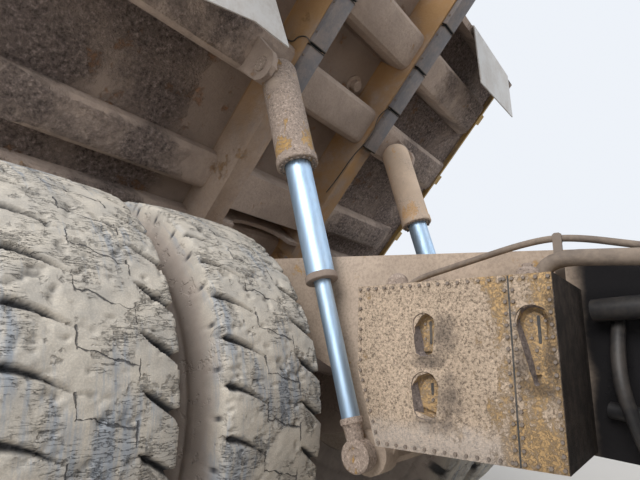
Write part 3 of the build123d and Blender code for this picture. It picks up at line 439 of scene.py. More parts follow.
@dataclass(frozen=True)
class BedGrime(Grime):
    """Bed underside: brown rails, smooth grey-brown beams, gravel where a face looks down."""

    rail: Colour = (0.46, 0.28, 0.135)
    soil: Colour = (0.25, 0.195, 0.175)
    inner: float = 0.530
    outer: float = 0.745

    def caked_share(self, shade: Shade) -> Signal:
        """Gravel stays on the faces that the wheels throw at, and off the rails."""
        y = shade.axes()[1].magnitude()
        forward, _, upward = shade.facing()
        down = forward * BED_SIN - upward * BED_COS
        patches = shade.noise(1.7, 7.0, 0.68)
        outboard = y.step(self.outer + 0.05, self.outer + 0.60)
        return (((down.step(0.60, 0.95) * 0.26 + 0.26) * outboard + patches * 1.6 - 1.08) * 3.2).clamp()

    def tone(self, shade: Shade, colour: bpy.types.NodeSocket) -> bpy.types.NodeSocket:
        """Ochre paint film over the two rails, darker soil outboard of them."""
        x, side, z = shade.axes()
        y = side.magnitude()
        muddy = side.step(0.1, -0.1) * along_bed(x, z).step(2.0, 1.0) * 0.75
        forward, _, upward = shade.facing()
        top = upward * BED_COS - forward * BED_SIN
        on_rail = y.step(self.inner - 0.004, self.inner) * y.step(self.outer + 0.004, self.outer)
        on_rail = on_rail * (1.0 - muddy) * top.step(0.9, 0.5)
        film = shade.noise(2.4, 6.0, 0.66, place=shade.place((1.0, 2.0, 1.0)))
        soiled = y.step(self.outer, self.outer + 0.3) * film.step(0.62, 0.42) * 0.22
        colour = shade.mix(soiled, colour, self.soil)
        return shade.mix(on_rail * film.step(0.30, 0.62), colour, self.rail)


@dataclass(frozen=True)
class RockTread:
    """Dusty, scuffed and cracked tyre rubber with painted shade in its slots and pits, drawn on a UV map in
    metres across and lug pitches round.
    """

    name: str = "tyre_rubber"
    pitch: float = 0.2356
    dust: Colour = (0.62, 0.56, 0.475)
    worn: Colour = (0.47, 0.435, 0.385)
    scuff: Colour = (0.28, 0.32, 0.375)
    rubber: Colour = (0.045, 0.047, 0.055)
    flank: Colour = (0.46, 0.39, 0.34)
    crack_half: float = 0.0032
    left_x: float = -0.098
    right_x: float = 0.150

    def grooves(self, shade: Shade, u: Signal, v: Signal, wide: Signal) -> Signal:
        """Hairline groove that steps across the tread once a lug, as a mask.

        Args:
            shade: The material under construction.
            u: Place across the tread, in metres.
            v: Place round the tread, in lug pitches.
            wide: Half the groove's width, in metres.

        Returns:
            A mask from 0 to 1.
        """
        zigzag = shade.math("SINE", u * 62.0) * 0.022 + shade.math("SINE", u * 23.0) * 0.030
        slope = 0.73 + (u - self.left_x) * 0.95 + zigzag
        gap = ((v - slope + 0.5).fraction() - 0.5).magnitude() * self.pitch
        across = gap.under(wide) * u.step(self.left_x - 0.004, self.left_x)
        across = across * u.step(self.right_x + 0.004, self.right_x)
        first = (u - self.left_x).magnitude().under(wide) * (v - 0.36).fraction().step(0.41, 0.37)
        second = (u - self.right_x).magnitude().under(wide) * (v - 0.86).fraction().step(0.42, 0.38)
        return across.peak(first).peak(second)

    def build(self) -> bpy.types.Material:
        """Make the material.

        Returns:
            The finished node material.
        """
        shade = Shade(self.name)
        depth = shade.attribute("hollow")
        flat = shade.node("ShaderNodeUVMap", {"uv_map": "tread"}).outputs[0]
        u, v, _ = shade.split(flat)
        metres = shade.join(u, v * self.pitch)
        jag = shade.noise(26.0, 5.0, 0.7, place=metres) - 0.5
        slow = shade.noise(7.0, 3.0, 0.5, place=metres) - 0.5
        u2, v2 = u + jag * 0.030 + slow * 0.03, v + jag * 0.16 + slow * 0.20
        thick = shade.noise(9.0, 4.0, 0.6, place=metres).step(0.36, 0.60) * self.crack_half * 1.5 + 0.0012
        line = self.grooves(shade, u2, v2, thick)
        stretched = shade.join(u * 0.42, v * self.pitch * 2.2)
        ridge = (shade.noise(19.0, 6.0, 0.68, place=stretched) - 0.5).magnitude()
        region = shade.noise(3.6, 4.0, 0.6, place=metres)
        nicks = ridge.under(0.012) * region.step(0.46, 0.56)
        torn_region = shade.noise(6.5, 4.0, 0.65, place=metres).step(0.565, 0.62)
        torn = shade.noise(42.0, 6.0, 0.8, place=stretched).step(0.54, 0.47) * torn_region
        streaks = shade.noise(5.0, 5.0, 0.7, place=shade.join(u * 5.5, v * self.pitch * 0.45))
        blotch = shade.noise(1.9, 4.0, 0.55, place=metres)
        scuffed = (streaks * 0.55 + blotch * 0.65 - u * 0.10).step(0.60, 0.74)
        fine = shade.noise(130.0, 4.0, 0.75, place=metres)
        cloud = shade.noise(4.4, 6.0, 0.66, place=metres)
        colour = shade.mix(cloud.step(0.38, 0.66), self.dust, self.worn)
        colour = shade.mix(fine.step(0.62, 0.42) * 0.32, colour, tuple(c * 0.6 for c in self.worn))
        colour = shade.mix(scuffed * 0.75, colour, self.scuff)
        edge = (u.magnitude() + jag * 0.05).step(0.350, 0.385)
        low = (u.magnitude() + slow * 0.16 + jag * 0.08).step(0.36, 0.52)
        wall = shade.mix(cloud.step(0.34, 0.66), self.flank, tuple(c * 0.84 for c in self.flank))
        colour = shade.mix(low * 0.95, colour, wall)
        # painted shade: slots and pits darkened towards the black rubber by their depth
        colour = shade.mix(depth.step(0.12, 0.80) * 0.90, colour, self.rubber)
        cuts = (line + nicks * 0.75 + torn * 0.32).clamp() * (1.0 - edge)
        colour = shade.mix(cuts * 0.88, colour, self.rubber)
        height = fine * 0.18 + cloud * 0.4 - cuts * 1.0 - torn_region * 0.5
        return shade.surface({
            "Base Color": colour, "Roughness": 0.92 - scuffed * 0.22, "Normal": shade.bump(height, 0.009),
            "Specular IOR Level": 0.3,
        })


@dataclass(frozen=True)
class PolishedRod:
    """Hard chrome of a hoist cylinder, tinted blue as a painted reflection of the sky, with faint marks along
    its stroke.
    """

    name: str = "chrome_rod"

    def build(self) -> bpy.types.Material:
        """Make the material.

        Returns:
            The finished node material.
        """
        shade = Shade(self.name)
        marks = shade.noise(34.0, 4.0, 0.65, place=shade.place((1.0, 1.0, 0.04)))
        film = shade.noise(5.0, 4.0, 0.6)
        # both blues are a painted reflection of the sky in the chrome
        colour = shade.mix(marks.step(0.42, 0.70) * 0.5, (0.48, 0.64, 0.82), (0.31, 0.43, 0.56))
        colour = shade.mix(film.step(0.5, 0.75) * 0.35, colour, (0.50, 0.52, 0.52))
        return shade.surface({"Base Color": colour, "Metallic": 0.85, "Roughness": 0.42 + marks * 0.12})


@dataclass(frozen=True)
class Plain:
    """Even finish with a little dust and grain."""

    name: str
    colour: Colour
    rough: float = 0.6
    metal: float = 0.0
    dust: float = 0.35
    grain: float = 40.0
    relief: float = 0.001
    dust_colour: Colour = (0.36, 0.29, 0.23)

    def build(self) -> bpy.types.Material:
        """Make the material.

        Returns:
            The finished node material.
        """
        shade = Shade(self.name)
        cloud = shade.noise(4.0, 5.0, 0.6)
        grain = shade.noise(self.grain, 4.0, 0.6)
        dust = (cloud * 0.7 + grain * 0.3).step(0.4, 0.65) * self.dust
        colour = shade.mix(dust, self.colour, self.dust_colour)
        return shade.surface({
            "Base Color": colour, "Roughness": (dust * 0.5 + self.rough).clamp(), "Metallic": self.metal,
            "Normal": shade.bump(grain, self.relief),
        })


@dataclass(frozen=True)
class PadRubber:
    """Slate rubber of the rail pads, with a black gap between each two."""

    name: str = "pad_rubber"
    colour: Colour = (0.185, 0.180, 0.190)
    dust: Colour = (0.33, 0.275, 0.245)
    gap: Colour = (0.012, 0.012, 0.013)
    start: float = 1.722
    length: float = 0.467
    gap_half: float = 0.014

    def build(self) -> bpy.types.Material:
        """Make the material.

        Returns:
            The finished node material.
        """
        shade = Shade(self.name)
        x, _, z = shade.axes()
        u = along_bed(x, z) - self.start
        off = ((u * (1.0 / self.length) + 0.5).fraction() - 0.5).magnitude() * self.length
        cloud, grain = shade.noise(4.0, 6.0, 0.65), shade.noise(34.0, 5.0, 0.7)
        colour = shade.mix((cloud * 0.7 + grain * 0.3).step(0.42, 0.62) * 0.6, self.colour, self.dust)
        colour = shade.mix(off.step(self.gap_half + 0.003, self.gap_half), colour, self.gap)
        return shade.surface({"Base Color": colour, "Roughness": 0.8, "Normal": shade.bump(grain, 0.004)})


@dataclass(frozen=True)
class Pane:
    """Dusty window glass."""

    name: str = "window_glass"

    def build(self) -> bpy.types.Material:
        """Make the material.

        Returns:
            The finished node material.
        """
        shade = Shade(self.name)
        dust = shade.noise(9.0, 5.0, 0.6).step(0.4, 0.8)
        return shade.surface({
            "Base Color": shade.mix(dust, (0.20, 0.26, 0.27), (0.34, 0.29, 0.23)),
            "Roughness": 0.08 + dust * 0.4, "Alpha": 0.35 + dust * 0.4,
        })


class Palette:
    """All finishes of the truck, each built once."""

    def __init__(self) -> None:
        """Build the materials."""
        self.frame = FrameGrime("frame_paint", dust=(0.53, 0.42, 0.33), bare=0.32, caked=0.25).build()
        self.chassis = Grime("chassis_paint", bare=0.45, caked=0.30).build()
        self.floor = BedGrime(
            "bed_floor_paint", paint=(0.40, 0.21, 0.11), dust=(0.36, 0.285, 0.235), mud=(0.290, 0.228, 0.203),
            bare=0.34, grain=30.0, relief=0.085, specks=0.03, gain=2.2,
        ).build()
        self.bed = Grime(
            "bed_paint", paint=(0.50, 0.32, 0.10), dust=(0.46, 0.345, 0.20), bare=0.80, caked=0.0,
        ).build()
        self.rail = BedGrime(
            "bed_rail_paint", paint=(0.46, 0.27, 0.12), dust=(0.50, 0.395, 0.325), mud=(0.31, 0.245, 0.215),
            bare=0.26, grain=30.0, relief=0.075, specks=0.03, gain=2.1,
        ).build()
        self.gear = Grime(
            "running_gear_paint", paint=(0.20, 0.15, 0.09), dust=(0.30, 0.24, 0.20), bare=0.1,
        ).build()
        self.tank = TankGrime(
            "tank_paint", paint=(0.64, 0.41, 0.185), dust=(0.60, 0.48, 0.37), mud=(0.54, 0.42, 0.315),
            caked=1.4, grain=96.0, relief=0.009, gain=1.4, specks=0.036,
        ).build()
        # dark mud of the recess walls, partly real mud and partly painted shade inside the recesses
        self.wet = Grime(
            "wet_mud", paint=(0.30, 0.22, 0.14), dust=(0.22, 0.18, 0.155), mud=(0.19, 0.155, 0.14),
            bare=0.0, caked=1.4, grain=78.0, relief=0.009,
        ).build()
        self.rim = Grime(
            "rim_paint", paint=(0.50, 0.30, 0.07), dust=(0.45, 0.37, 0.30), bare=0.55, caked=0.30,
        ).build()
        self.cylinder = CylinderGrime(
            "cylinder_paint", paint=(0.62, 0.37, 0.12), dust=(0.47, 0.375, 0.30), mud=(0.34, 0.27, 0.225),
            bare=0.38, caked=0.86, grain=62.0, relief=0.007, gain=1.8,
        ).build()
        # far barrel: less gravel, and paler colours that paint on the light it lacks in the shade under the
        # bed
        self.far_cylinder = CylinderGrime(
            "cylinder_paint_far", paint=(0.78, 0.47, 0.22), dust=(0.78, 0.60, 0.45), mud=(0.55, 0.43, 0.34),
            bare=0.38, caked=0.42, grain=62.0, relief=0.005, gain=1.5,
        ).build()
        self.cab = Grime(
            "cab_paint", paint=(0.60, 0.38, 0.07), dust=(0.48, 0.38, 0.29), bare=1.0, caked=0.0,
        ).build()
        self.tyre = RockTread().build()
        self.chrome = PolishedRod().build()
        self.pads = PadRubber().build()
        self.flap = Plain("flap_rubber", (0.60, 0.585, 0.565), 0.8, dust=0.35, relief=0.003).build()
        self.hose = Plain("hose_rubber", (0.16, 0.125, 0.10), 0.7, dust=0.6, relief=0.002).build()
        self.dark = Plain("grille_black", (0.03, 0.03, 0.03), 0.55).build()
        # near black for the engine bay: engine oil, and painted shade of the bay
        self.oily = Plain("engine_oil_black", (0.018, 0.018, 0.020), 0.5, dust=0.12).build()
        self.steel = Plain("bolt_steel", (0.20, 0.165, 0.14), 0.6, 0.4, dust=0.5).build()
        self.lamp = Plain("lamp_lens", (0.75, 0.75, 0.70), 0.15, dust=0.2).build()
        self.plastic = Plain("interior_plastic", (0.06, 0.06, 0.06), 0.6).build()
        self.glass = Pane().build()


@dataclass
class MeshDraft:
    """Vertices and faces of one piece, collected before it becomes an object."""

    points: list = field(default_factory=list)
    faces: list = field(default_factory=list)

    def add(self, points: Sequence, faces: Sequence[Sequence[int]]) -> None:
        """Add a shape whose faces count its own points from 0."""
        start = len(self.points)
        self.points.extend(Vector(p) for p in points)
        self.faces.extend([i + start for i in face] for face in faces)

    def grid(self, rows: np.ndarray, wrap_rows: bool = False, wrap_columns: bool = False) -> None:
        """Add a quad grid from an array of shape rows x columns x 3."""
        count, width = rows.shape[:2]
        faces = []
        for i in range(count if wrap_rows else count - 1):
            for j in range(width if wrap_columns else width - 1):
                a, b = i * width + j, i * width + (j + 1) % width
                c, d = ((i + 1) % count) * width + (j + 1) % width, ((i + 1) % count) * width + j
                faces.append((a, b, c, d))
        self.add(rows.reshape(-1, 3).tolist(), faces)

    def lathe(self, profile: Sequence[tuple[float, float]], base: Matrix, steps: int = 64) -> None:
        """Add a closed turned shape.

        Args:
            profile: Points (radius, height) whose first and last radius may be 0.
            base: Matrix that puts the turning axis, local Z, in place.
            steps: Number of sides.
        """
        rings = []
        for radius, height in profile:
            spots = [(0.0, 0.0)] if radius < 1e-6 else circle(radius, steps)
            rings.append(range(len(self.points), len(self.points) + len(spots)))
            self.points.extend(base @ Vector((x, y, height)) for x, y in spots)
        for low, high in zip(rings, rings[1:]):
            for k in range(steps):
                n = (k + 1) % steps
                if len(low) == 1 and len(high) == 1:
                    continue
                if len(low) == 1:
                    self.faces.append([low[0], high[n], high[k]])
                elif len(high) == 1:
                    self.faces.append([low[k], low[n], high[0]])
                else:
                    self.faces.append([low[k], low[n], high[n], high[k]])

    def block(self, corners: Sequence) -> None:
        """Add a box given by its eight corners, of which the last axis changes fastest."""
        sides = [(0, 1, 3, 2), (4, 6, 7, 5), (0, 4, 5, 1), (2, 3, 7, 6), (0, 2, 6, 4), (1, 5, 7, 3)]
        self.add(corners, sides)

    def slab(self, outline: Sequence[tuple[float, float]], y0: float, y1: float, chamfer: float) -> None:
        """Add a plate given by its outline in X and Z and its two Y faces, the first one chamfered."""
        count = len(outline)
        middle = [sum(p[i] for p in outline) / count for i in range(2)]
        inset = []
        for x, z in outline:
            reach = math.hypot(x - middle[0], z - middle[1]) or 1.0
            share = 1.0 - chamfer / reach
            inset.append((middle[0] + (x - middle[0]) * share, middle[1] + (z - middle[1]) * share))
        step = math.copysign(chamfer, y1 - y0)
        rings = ((inset, y0), (outline, y0 + step), (outline, y1))
        faces = [list(range(count)), [2 * count + k for k in range(count)]]
        for ring in range(2):
            for k in range(count):
                a, b = ring * count + k, ring * count + (k + 1) % count
                faces.append([a, b, b + count, a + count])
        self.add([(x, y, z) for ring, y in rings for x, z in ring], faces)

    def build(self, name: str, material: bpy.types.Material, smooth: float = 35.0) -> bpy.types.Object:
        """Make the object, with outward normals and edges sharper than the angle kept.

        Args:
            name: Name of the piece.
            material: Its material.
            smooth: Greatest angle in degrees between smoothly shaded faces.

        Returns:
            The new object, linked to the scene.
        """
        mesh = bpy.data.meshes.new(name)
        mesh.from_pydata([tuple(p) for p in self.points], [], self.faces)
        work = bmesh.new()
        work.from_mesh(mesh)
        bmesh.ops.recalc_face_normals(work, faces=work.faces)
        work.to_mesh(mesh)
        work.free()
        mesh.shade_smooth()
        mesh.set_sharp_from_angle(angle=math.radians(smooth))
        mesh.materials.append(material)
        return add_object(name, mesh)


def swept_tube(
    name: str, route: Sequence[Sequence[float]], radius: float, material: bpy.types.Material,
) -> bpy.types.Object:
    """Smooth round tube along a route.

    Args:
        name: Name of the piece.
        route: Control points of its line.
        radius: Radius of the tube.
        material: Its material.

    Returns:
        The tube as a plain mesh object.
    """
    data = bpy.data.curves.new(name, "CURVE")
    data.dimensions, data.bevel_depth, data.bevel_resolution, data.use_fill_caps = "3D", radius, 5, True
    spline = data.splines.new("NURBS")
    spline.points.add(len(route) - 1)
    for point, place in zip(spline.points, route):
        point.co = (*place, 1.0)
    spline.order_u, spline.use_endpoint_u, spline.resolution_u = 3, True, 10
    line = add_object(name, data)
    mesh = evaluated_mesh(line)
    bpy.data.objects.remove(line)
    mesh.name = name
    mesh.materials.clear()
    mesh.materials.append(material)
    mesh.shade_smooth()
    return add_object(name, mesh)


def axis_matrix(origin: Sequence[float], direction: Sequence[float]) -> Matrix:
    """Matrix whose local Z axis runs along a direction from an origin."""
    turn = Vector((0, 0, 1)).rotation_difference(Vector(direction).normalized())
    return Matrix.Translation(Vector(origin)) @ turn.to_matrix().to_4x4()


def soften(node: bpy.types.Object, name: str, material: bpy.types.Material, width: float) -> bpy.types.Object:
    """Copy of a CAD node with its edges rounded.

    Args:
        node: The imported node.
        name: Name of the new piece.
        material: Its material.
        width: Size of the rounding, in metres.

    Returns:
        The new object, which still has to ride on a body.
    """
    mesh = node.data.copy()
    mesh.name = name
    work = bmesh.new()
    work.from_mesh(mesh)
    bmesh.ops.remove_doubles(work, verts=work.verts, dist=1e-5)
    bmesh.ops.dissolve_limit(
        work, angle_limit=math.radians(1.0), verts=work.verts, edges=work.edges,
        use_dissolve_boundaries=False,
    )
    bmesh.ops.recalc_face_normals(work, faces=work.faces)
    work.to_mesh(mesh)
    work.free()
    mesh.materials.clear()
    mesh.materials.append(material)
    piece = add_object(name, mesh)
    bevel = piece.modifiers.new("round", "BEVEL")
    bevel.width, bevel.segments, bevel.limit_method = width, 2, "ANGLE"
    bevel.angle_limit = math.radians(28)
    bevel.use_clamp_overlap = bevel.harden_normals = True
    mesh.shade_smooth()
    return keep_evaluated(piece)


class Bolts:
    """Geometry Nodes tree that stands a hexagon bolt head on every point of a mesh."""

    def __init__(self, name: str, material: bpy.types.Material) -> None:
        """Build the tree, with radius, height, sides and seed as its inputs."""
        tree = bpy.data.node_groups.new(name, "GeometryNodeTree")
        face, self.tree, self.keys = tree.interface, tree, {}
        face.new_socket("Geometry", in_out="INPUT", socket_type="NodeSocketGeometry")
        for word, kind in (("Radius", "Float"), ("Height", "Float"), ("Sides", "Int"), ("Seed", "Int")):
            socket = face.new_socket(word, in_out="INPUT", socket_type=f"NodeSocket{kind}")
            self.keys[word] = socket.identifier
        face.new_socket("Geometry", in_out="OUTPUT", socket_type="NodeSocketGeometry")
        inputs, end = tree.nodes.new("NodeGroupInput"), tree.nodes.new("NodeGroupOutput")
        given = inputs.outputs
        slim = self.node("ShaderNodeMath", {0: given["Radius"], 1: 0.86}, {"operation": "MULTIPLY"})
        head = self.node("GeometryNodeMeshCone", {
            "Vertices": given["Sides"], "Depth": given["Height"], "Radius Bottom": given["Radius"],
            "Radius Top": slim.outputs[0],
        })
        vector = {"data_type": "FLOAT_VECTOR"}
        facing = self.node("GeometryNodeInputNamedAttribute", {"Name": "facing"}, vector)
        turn = self.node("FunctionNodeAlignRotationToVector", {"Vector": facing.outputs[0]}, {"axis": "Z"})
        spread = {2: 0.90, 3: 1.08, "Seed": given["Seed"]}
        wear = self.node("FunctionNodeRandomValue", spread, {"data_type": "FLOAT"})
        stand = self.node("GeometryNodeInstanceOnPoints", {
            "Points": given["Geometry"], "Instance": head.outputs["Mesh"], "Rotation": turn.outputs[0],
            "Scale": wear.outputs[1],
        })
        whole = self.node("GeometryNodeRealizeInstances", {"Geometry": stand.outputs[0]})
        paint = self.node("GeometryNodeSetMaterial", {"Geometry": whole.outputs[0], "Material": material})
        tree.links.new(paint.outputs[0], end.inputs[0])

    def node(self, kind: str, values: dict, settings: dict | None = None) -> bpy.types.Node:
        """Add a node with its settings, then its values or links."""
        node = self.tree.nodes.new(kind)
        for key, value in (settings or {}).items():
            setattr(node, key, value)
        for key, value in values.items():
            if isinstance(value, bpy.types.NodeSocket):
                self.tree.links.new(value, node.inputs[key])
            else:
                node.inputs[key].default_value = value
        return node

    def place(
        self, name: str, spots: Sequence[tuple[Vector, Vector]], radius: float, height: float, sides: int = 6,
    ) -> bpy.types.Object:
        """Put the heads on their spots.

        Args:
            name: Name of the piece.
            spots: Each head's foot and the direction it faces.
            radius: Radius of a head.
            height: Height of a head.
            sides: Number of its sides.

        Returns:
            All heads as one plain mesh object.
        """
        mesh = bpy.data.meshes.new(name)
        mesh.from_pydata([tuple(p) for p, _ in spots], [], [])
        facing = mesh.attributes.new("facing", "FLOAT_VECTOR", "POINT")
        facing.data.foreach_set("vector", [c for _, way in spots for c in way])
        piece = add_object(name, mesh)
        modifier = piece.modifiers.new("bolts", "NODES")
        modifier.node_group = self.tree
        for word, value in (("Radius", radius), ("Height", height), ("Sides", sides), ("Seed", len(spots))):
            modifier[self.keys[word]] = value
        return keep_evaluated(piece)


class Skin:
    """Surface of a CAD node, on which fittings are set down."""

    def __init__(self, node: bpy.types.Object) -> None:
        """Read the node's faces."""
        places = [v.co for v in node.data.vertices]
        self.surface = BVHTree.FromPolygons(places, [p.vertices for p in node.data.polygons])

    def land(self, start: Sequence[float], way: Sequence[float]) -> tuple[Vector, Vector] | None:
        """First place that a straight line meets, with the face's direction turned back along the line."""
        spot, normal, _, _ = self.surface.ray_cast(Vector(start), Vector(way).normalized())
        if spot is None:
            return None
        return spot, -normal if normal.dot(Vector(way)) > 0 else normal


def dress(piece: bpy.types.Object, body: str, slot: str, *nodes: str) -> bpy.types.Object:
    """Make a finished piece ride on its body and hide what it replaces."""
    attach(piece, body)
    if nodes:
        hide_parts(*nodes)
    LOG.info("%s rides on %s, %d faces", piece.name, body, len(piece.data.polygons))
    return piece


@dataclass
class Tyre:
    """One rock tyre, worn and chipped, as a displaced grid round the axle."""

    centre: Vector
    side: Side
    phase: float = 0.0
    radius: float = 1.350
    half_tread: float = 0.358
    edge: float = 0.022
    bead_radius: float = 0.63
    lugs: int = 36
    per_lug: int = 29
    columns: int = 58
    slot_depth: float = 0.050
    pit_depth: float = 0.016
    seed: float = 0.0

    @property
    def pitch(self) -> float:
        """Length of one lug round the tread."""
        return 2 * math.pi * self.radius / self.lugs

    def between(
        self, q: np.ndarray, centre: np.ndarray, half: np.ndarray, steep: float, gentle: float,
    ) -> np.ndarray:
        """Depth from 0 to 1 of a slot of a half width round a centre line, repeated every lug."""
        off = ((q - centre) / self.pitch + 0.5) % 1.0 - 0.5
        off = off * self.pitch
        return np.minimum(np.clip((off + half) / steep, 0, 1), np.clip((half - off) / gentle, 0, 1))

    def slots(self, t: np.ndarray, q: np.ndarray) -> np.ndarray:
        """Depth of the slanted slots, from 0 to 1.

        Args:
            t: Place across the tread from its middle, towards the truck's middle.
            q: Place round the tread, downwards on its front.

        Returns:
            The depth at each place.
        """
        flare = 0.032 * np.clip((t - 0.318) / 0.05, 0, 1.3) ** 2
        reach = np.clip((t - 0.160) / 0.05, 0, 1)
        half = 0.020 * reach ** 0.7 + 0.004 * np.clip((t - 0.2) / 0.15, 0, 1) + flare
        inner = self.between(q, 0.333 + (t - 0.172) * 0.62, half, 0.014, 0.026) * (reach > 0)
        run = np.clip((-0.092 - t) / 0.265, 0, 1)
        half = 0.026 * run ** 0.65 * np.clip((t + 0.368) / 0.045, 0, 1) ** 0.6
        centre = 0.098 * np.clip((t + 0.365) / 0.265, 0, 1) ** 1.7
        outer = self.between(q, centre, half, 0.014, 0.030) * (run > 0)
        return np.maximum(inner ** 0.8, outer ** 0.8 * 0.95 * np.clip((t + 0.368) / 0.03, 0, 1))

    def pits(self, across: np.ndarray, q: np.ndarray) -> np.ndarray:
        """Small pit in the shoulder at every lug, as depths from 0 to 1."""
        middle = ((q / self.pitch - 0.62) + 0.5) % 1.0 - 0.5
        length = np.clip(1.6 - np.abs(middle) * self.pitch / 0.012, 0, 1)
        return length * np.clip(1.6 - np.abs(-across - 0.392) / 0.014, 0, 1)

    def section(self) -> np.ndarray:
        """Outline of the tyre's cut.

        Returns:
            Rows of place across, radius and distance along the surface from the tread's middle.
        """
        tread = np.linspace(-self.half_tread + self.edge, self.half_tread - self.edge, self.columns)
        crown = [(y, self.radius - 0.010 * (abs(y) / self.half_tread) ** 3, y) for y in tread]
        wall = [
            (self.half_tread - 0.006, self.radius - 0.018, 0.352),
            (self.half_tread + 0.002, self.radius - 0.038, 0.374),
            (0.365, 1.285, 0.402), (0.369, 1.225, 0.462), (0.372, 1.165, 0.522), (0.374, 1.110, 0.577),
            (0.3745, 1.065, 0.622), (0.367, 1.055, 0.632), (0.368, 1.030, 0.657), (0.375, 1.020, 0.667),
            (0.368, 0.90, 0.787), (0.357, 0.825, 0.862), (0.347, 0.818, 0.869), (0.340, 0.775, 0.912),
            (0.346, 0.765, 0.922), (0.318, 0.66, 1.03), (0.305, 0.622, 1.07),
        ]
        inner = [(0.26, 0.622, 1.12), (0.0, 0.622, 1.38), (-0.26, 0.622, -1.12)]
        return np.array(crown + wall + inner + [(-y, r, -u) for y, r, u in reversed(wall)])

    def wear(self, theta: np.ndarray, ys: np.ndarray, rs: np.ndarray) -> tuple[np.ndarray, np.ndarray]:
        """Uneven wear of the rubber outside the bead, from noise.

        Args:
            theta: Angles round the axle.
            ys: Places across of the section's points.
            rs: Their radii.

        Returns:
            Roughness and chips at every point.
        """
        rough, chips = np.zeros((2, len(theta), len(ys)))
        for i, angle in enumerate(theta):
            c, s = math.cos(angle), math.sin(angle)
            for j in np.flatnonzero(rs >= self.bead_radius):
                p = Vector((rs[j] * c, ys[j] + self.seed, rs[j] * s))
                rough[i, j] = noise.noise(p * 5.0) * 0.6 + noise.noise(p * 24.0) * 0.4
                chips[i, j] = noise.noise(p * 14.0 + Vector((3.0, 7.0, 1.0))) + 0.5 * noise.noise(p * 37.0)
        return rough, chips

    def map_tread(self, mesh: bpy.types.Mesh, us: np.ndarray) -> None:
        """Lay the UV map that the rubber is drawn on, in metres across and lug pitches round.

        Args:
            mesh: The tyre's mesh, with its points section after section.
            us: Distance along the surface of each point of a section.
        """
        around, width, mirror = self.lugs * self.per_lug, len(us), -self.side.value
        corners = np.zeros(len(mesh.loops), dtype=np.int32)
        mesh.loops.foreach_get("vertex_index", corners)
        row, column = corners // width, corners % width
        first_row = row.reshape(-1, 4).min(axis=1).repeat(4)
        row = np.where((first_row == 0) & (row == around - 1), -1, row)
        first_column = column.reshape(-1, 4).min(axis=1).repeat(4)
        wrapped = (first_column == 0) & (column == width - 1)
        beside = -(self.half_tread - self.edge) * mirror - 0.016 * mirror
        across = np.where(wrapped, beside, us[column] * mirror)
        turn = -(-math.pi / 2 + row * 2 * math.pi / around) * self.radius - self.phase
        layer = mesh.uv_layers.new(name="tread")
        flat = np.stack([across, turn / self.pitch], axis=-1)
        layer.data.foreach_set("uv", flat.reshape(-1).astype(np.float32))

    def build(self, name: str, material: bpy.types.Material) -> bpy.types.Object:
        """Make the tyre.

        Args:
            name: Name of the piece.
            material: Its rubber.

        Returns:
            The new object.
        """
        around = self.lugs * self.per_lug
        theta = -math.pi / 2 + np.arange(around) * 2 * math.pi / around
        ys, rs, us = self.section().T
        angle, across = np.meshgrid(theta, ys, indexing="ij")
        radius, along = np.repeat(rs[None, :], around, 0), np.repeat(us[None, :], around, 0)
        q = -angle * self.radius - self.phase
        mirror = -self.side.value
        slot, pit = self.slots(across * mirror, q), self.pits(along * mirror, q)
        rough, chips = self.wear(theta, ys, rs)
        reach = np.abs(along)
        near_edge = np.clip((reach - 0.28) / 0.07, 0, 1) * np.clip((0.45 - reach) / 0.07, 0, 1)
        crown = (radius > 1.27).astype(float)
        torn = np.clip(chips - 0.28 + 0.16 * near_edge + 0.10 * slot, 0, 0.5)
        bands = np.clip((radius - 1.12) / 0.16, 0, 1)
        cut = slot * self.slot_depth * bands + torn * 0.035 * crown
        cut += np.clip(rough + 0.25, 0, 1) * 0.010 * crown
        cut += pit * self.pit_depth
        worn = np.maximum(radius - cut, 0.6)
        pinch = slot * 0.034 * np.clip((np.abs(across) - 0.325) / 0.03, 0, 1) * bands + pit * 0.012
        x = worn * np.cos(angle) + self.centre.x
        y = across - np.sign(across) * pinch + self.centre.y
        z = np.maximum(worn * np.sin(angle) + self.centre.z, 0.0)
        draft = MeshDraft()
        draft.grid(np.stack([x, y, z], axis=-1), wrap_rows=True, wrap_columns=True)
        piece = draft.build(name, material, 60.0)
        # painted shade of the slots and pits, kept per point for the rubber's colour
        hollow = piece.data.attributes.new("hollow", "FLOAT", "POINT")
        shadow = np.clip(cut / self.slot_depth + pit * 0.5, 0, 1)
        hollow.data.foreach_set("value", shadow.reshape(-1).astype(np.float32))
        self.map_tread(piece.data, us)
        return piece


